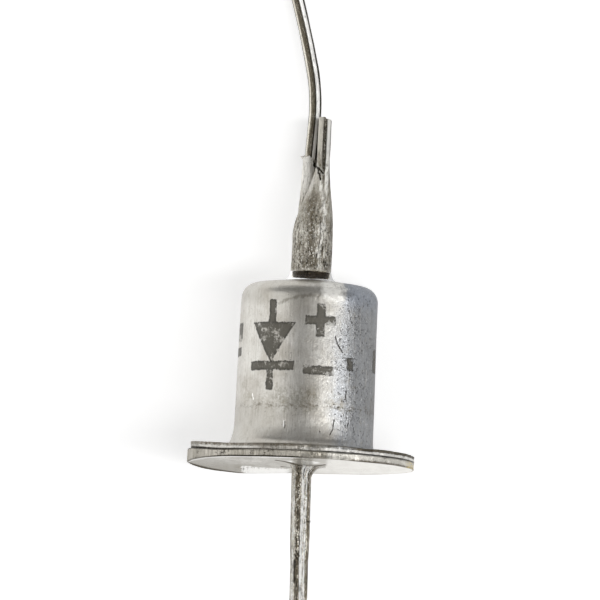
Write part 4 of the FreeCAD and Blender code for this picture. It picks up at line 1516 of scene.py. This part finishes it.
def build_solder(material):
    """Solder cone, drawn out further on the right than on the left."""
    wide = LOWER_LEAD_RADIUS + CONE_SPREAD
    inner = LOWER_LEAD_RADIUS - 0.08
    tip = (LOWER_LEAD_RADIUS - 0.01, -CONE_HEIGHT)
    curve = hollow((wide, -0.01), (LOWER_LEAD_RADIUS + 0.03, -0.06), tip, 26)
    profile = [(inner, 0.02), (wide, 0.02)] + curve + [(inner, -CONE_HEIGHT)]
    points, faces = revolve(np.array(profile), CONE_COLUMNS)
    r, turn = around(points)[:2]
    factor = 0.55 + 0.45 * np.sin(turn) + 0.05 * np.sin(3 * turn + 1.0) + 0.04 * np.sin(7 * turn)
    beyond = np.maximum(r - LOWER_LEAD_RADIUS, 0) * np.clip(factor, 0.12, 1.0)
    points[:, :2] *= ((np.minimum(r, LOWER_LEAD_RADIUS) + beyond) / r)[:, None]
    # the solder cone carries the lower wire's bands a little weaker, with their painted highlights and dark
    # reflections
    attributes = band_attributes(ring_of(points), LOWER_BANDS, 0.8)
    piece = make_piece("lower_lead_solder_dressed", points, faces, material, attributes)
    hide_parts("lower_lead_solder")


def dress_inner_nodes():
    """Materials for the pieces sealed inside, which keep their own shapes."""
    solder = inner_material("inner_solder", (0.70, 0.69, 0.66), (0.50, 0.49, 0.46), 0.35, 1.0)
    aluminium = inner_material("alloyed_aluminium", (0.82, 0.82, 0.83), (0.66, 0.66, 0.67), 0.35, 1.0)
    chosen = {
        "silicon_die": inner_material("silicon", (0.16, 0.17, 0.19), (0.10, 0.11, 0.13), 0.12, 0.6),
        "die_solder": solder,
        "electrode_solder": solder,
        "aluminium_electrode": aluminium,
        "inner_lead": inner_material("silvered_wire", (0.86, 0.85, 0.82), (0.66, 0.64, 0.60), 0.22, 1.0),
    }
    for node, material in chosen.items():
        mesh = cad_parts[node].data
        mesh.materials.clear()
        mesh.materials.append(material)


# Stage, light and camera


def floor_material():
    """White table, lifted for the camera, and in reflections beside the case and below its flange."""
    s = Shader("floor")
    x, y = s.parts(s.node("NewGeometry", output="Position"))[:2]
    case_side = s.step(y, CASE_END - 0.001, CASE_END + 0.001)
    beside = s.step(x, -0.002, 0.002, LEFT_LIFT, 0.0) * case_side
    below = s.step(x, -0.004, 0.006, FLANGE_LIFT * 0.5, FLANGE_LIFT) * (1 - case_side)
    mirrored = (beside + below) * s.node("LightPath", output="Is Glossy Ray")
    seen = s.node("LightPath", output="Is Camera Ray") * FLOOR_LIFT
    return s.principled(Base_Color=FLOOR_WHITE, Roughness=1.0, Specular_IOR_Level=0.0,
                        Emission_Color=(1, 1, 1, 1), Emission_Strength=mirrored + seen)


def build_floor():
    """White table, large enough for any view."""
    corners = [(x * FLOOR_HALF, y * FLOOR_HALF, 0) for x, y in ((-1, -1), (1, -1), (1, 1), (-1, 1))]
    mesh = bpy.data.meshes.new("floor")
    mesh.from_pydata(corners, [], [(0, 1, 2, 3)])
    mesh.materials.append(floor_material())
    floor = bpy.data.objects.new("floor", mesh)
    bpy.context.scene.collection.objects.link(floor)


def area_light(name, position, width, height, power):
    """Soft rectangular light aimed at the case, placed in the row frame in metres."""
    data = bpy.data.lights.new(name, "AREA")
    data.shape = "RECTANGLE"
    data.size = width
    data.size_y = height
    data.energy = power
    light = bpy.data.objects.new(name, data)
    bpy.context.scene.collection.objects.link(light)
    light.location = position
    light.rotation_mode = "QUATERNION"
    light.rotation_quaternion = (-Vector(position)).to_track_quat("-Z", "Y")


def build_world():
    """Dim surroundings for the reflections, white where the camera looks past the table."""
    world = bpy.data.worlds.new("studio")
    bpy.context.scene.world = world
    world.use_nodes = True
    tree = world.node_tree
    tree.nodes.clear()
    output = tree.nodes.new("ShaderNodeOutputWorld")
    path = tree.nodes.new("ShaderNodeLightPath")
    dim = tree.nodes.new("ShaderNodeBackground")
    dim.inputs[0].default_value = (SURROUNDINGS, SURROUNDINGS, SURROUNDINGS, 1)
    white = tree.nodes.new("ShaderNodeBackground")
    white.inputs[0].default_value = (1, 1, 1, 1)
    mix = tree.nodes.new("ShaderNodeMixShader")
    tree.links.new(path.outputs["Is Camera Ray"], mix.inputs[0])
    tree.links.new(dim.outputs[0], mix.inputs[1])
    tree.links.new(white.outputs[0], mix.inputs[2])
    tree.links.new(mix.outputs[0], output.inputs[0])


def build_lights():
    """A wide soft box on the left and a narrow strip on the right."""
    area_light("left_box", position=(-0.31, 0.02, 0.19), width=0.34, height=0.40, power=0.44)
    area_light("right_strip", position=(0.21, 0.02, 0.28), width=0.065, height=0.45, power=0.66)


def build_camera():
    """Long lens, looking a little from below the flange, rolled so that the axis leans to the right."""
    below = math.radians(CAMERA_BELOW)
    roll = math.radians(CAMERA_ROLL)
    back = np.array([0, -math.cos(below), -math.sin(below)])
    right = np.array([1.0, 0, 0])
    up = np.array([0, -math.sin(below), math.cos(below)])
    right, up = right * math.cos(roll) + up * math.sin(roll), up * math.cos(roll) - right * math.sin(roll)
    turn = laid_rotation()
    matrix = Matrix.Identity(4)
    for column, axis in enumerate((right, up, back)):
        for row, value in enumerate(turn @ axis):
            matrix[row][column] = value
    place = to_row(np.array(FRAME_CENTRE) + back * CAMERA_DISTANCE)
    for row in range(3):
        matrix[row][3] = place[row]
    data = bpy.data.cameras.new("camera")
    data.sensor_width = 36
    data.lens = 36 * CAMERA_DISTANCE / FRAME_WIDTH
    data.clip_start = 0.01
    data.clip_end = 10
    camera = bpy.data.objects.new("camera", data)
    bpy.context.scene.collection.objects.link(camera)
    camera.matrix_world = matrix
    bpy.context.scene.camera = camera


def main():
    build_can(can_material())
    build_base(base_material())
    build_glass(glass_material())
    tube = tube_material()
    build_tube(tube)
    build_lobe(tube)
    upper = wire_material("upper_wire", seed=81, light=(0.74, 0.71, 0.63), dark=(0.58, 0.54, 0.46),
                          tarnish_and_reflection_tone=(0.095, 0.080, 0.052), roughness=0.16, relief=0.6, streaks=0.25)
    build_upper_lead(upper)
    lower = wire_material("lower_wire", seed=91, light=(0.74, 0.72, 0.66), dark=(0.50, 0.47, 0.40),
                          tarnish_and_reflection_tone=(0.15, 0.125, 0.085), roughness=0.16, relief=2.2, streaks=0.75)
    build_lower_lead(lower)
    build_solder(lower)
    dress_inner_nodes()
    build_floor()
    build_world()
    build_lights()
    build_camera()
    bpy.context.scene.view_settings.view_transform = "Standard"


main()
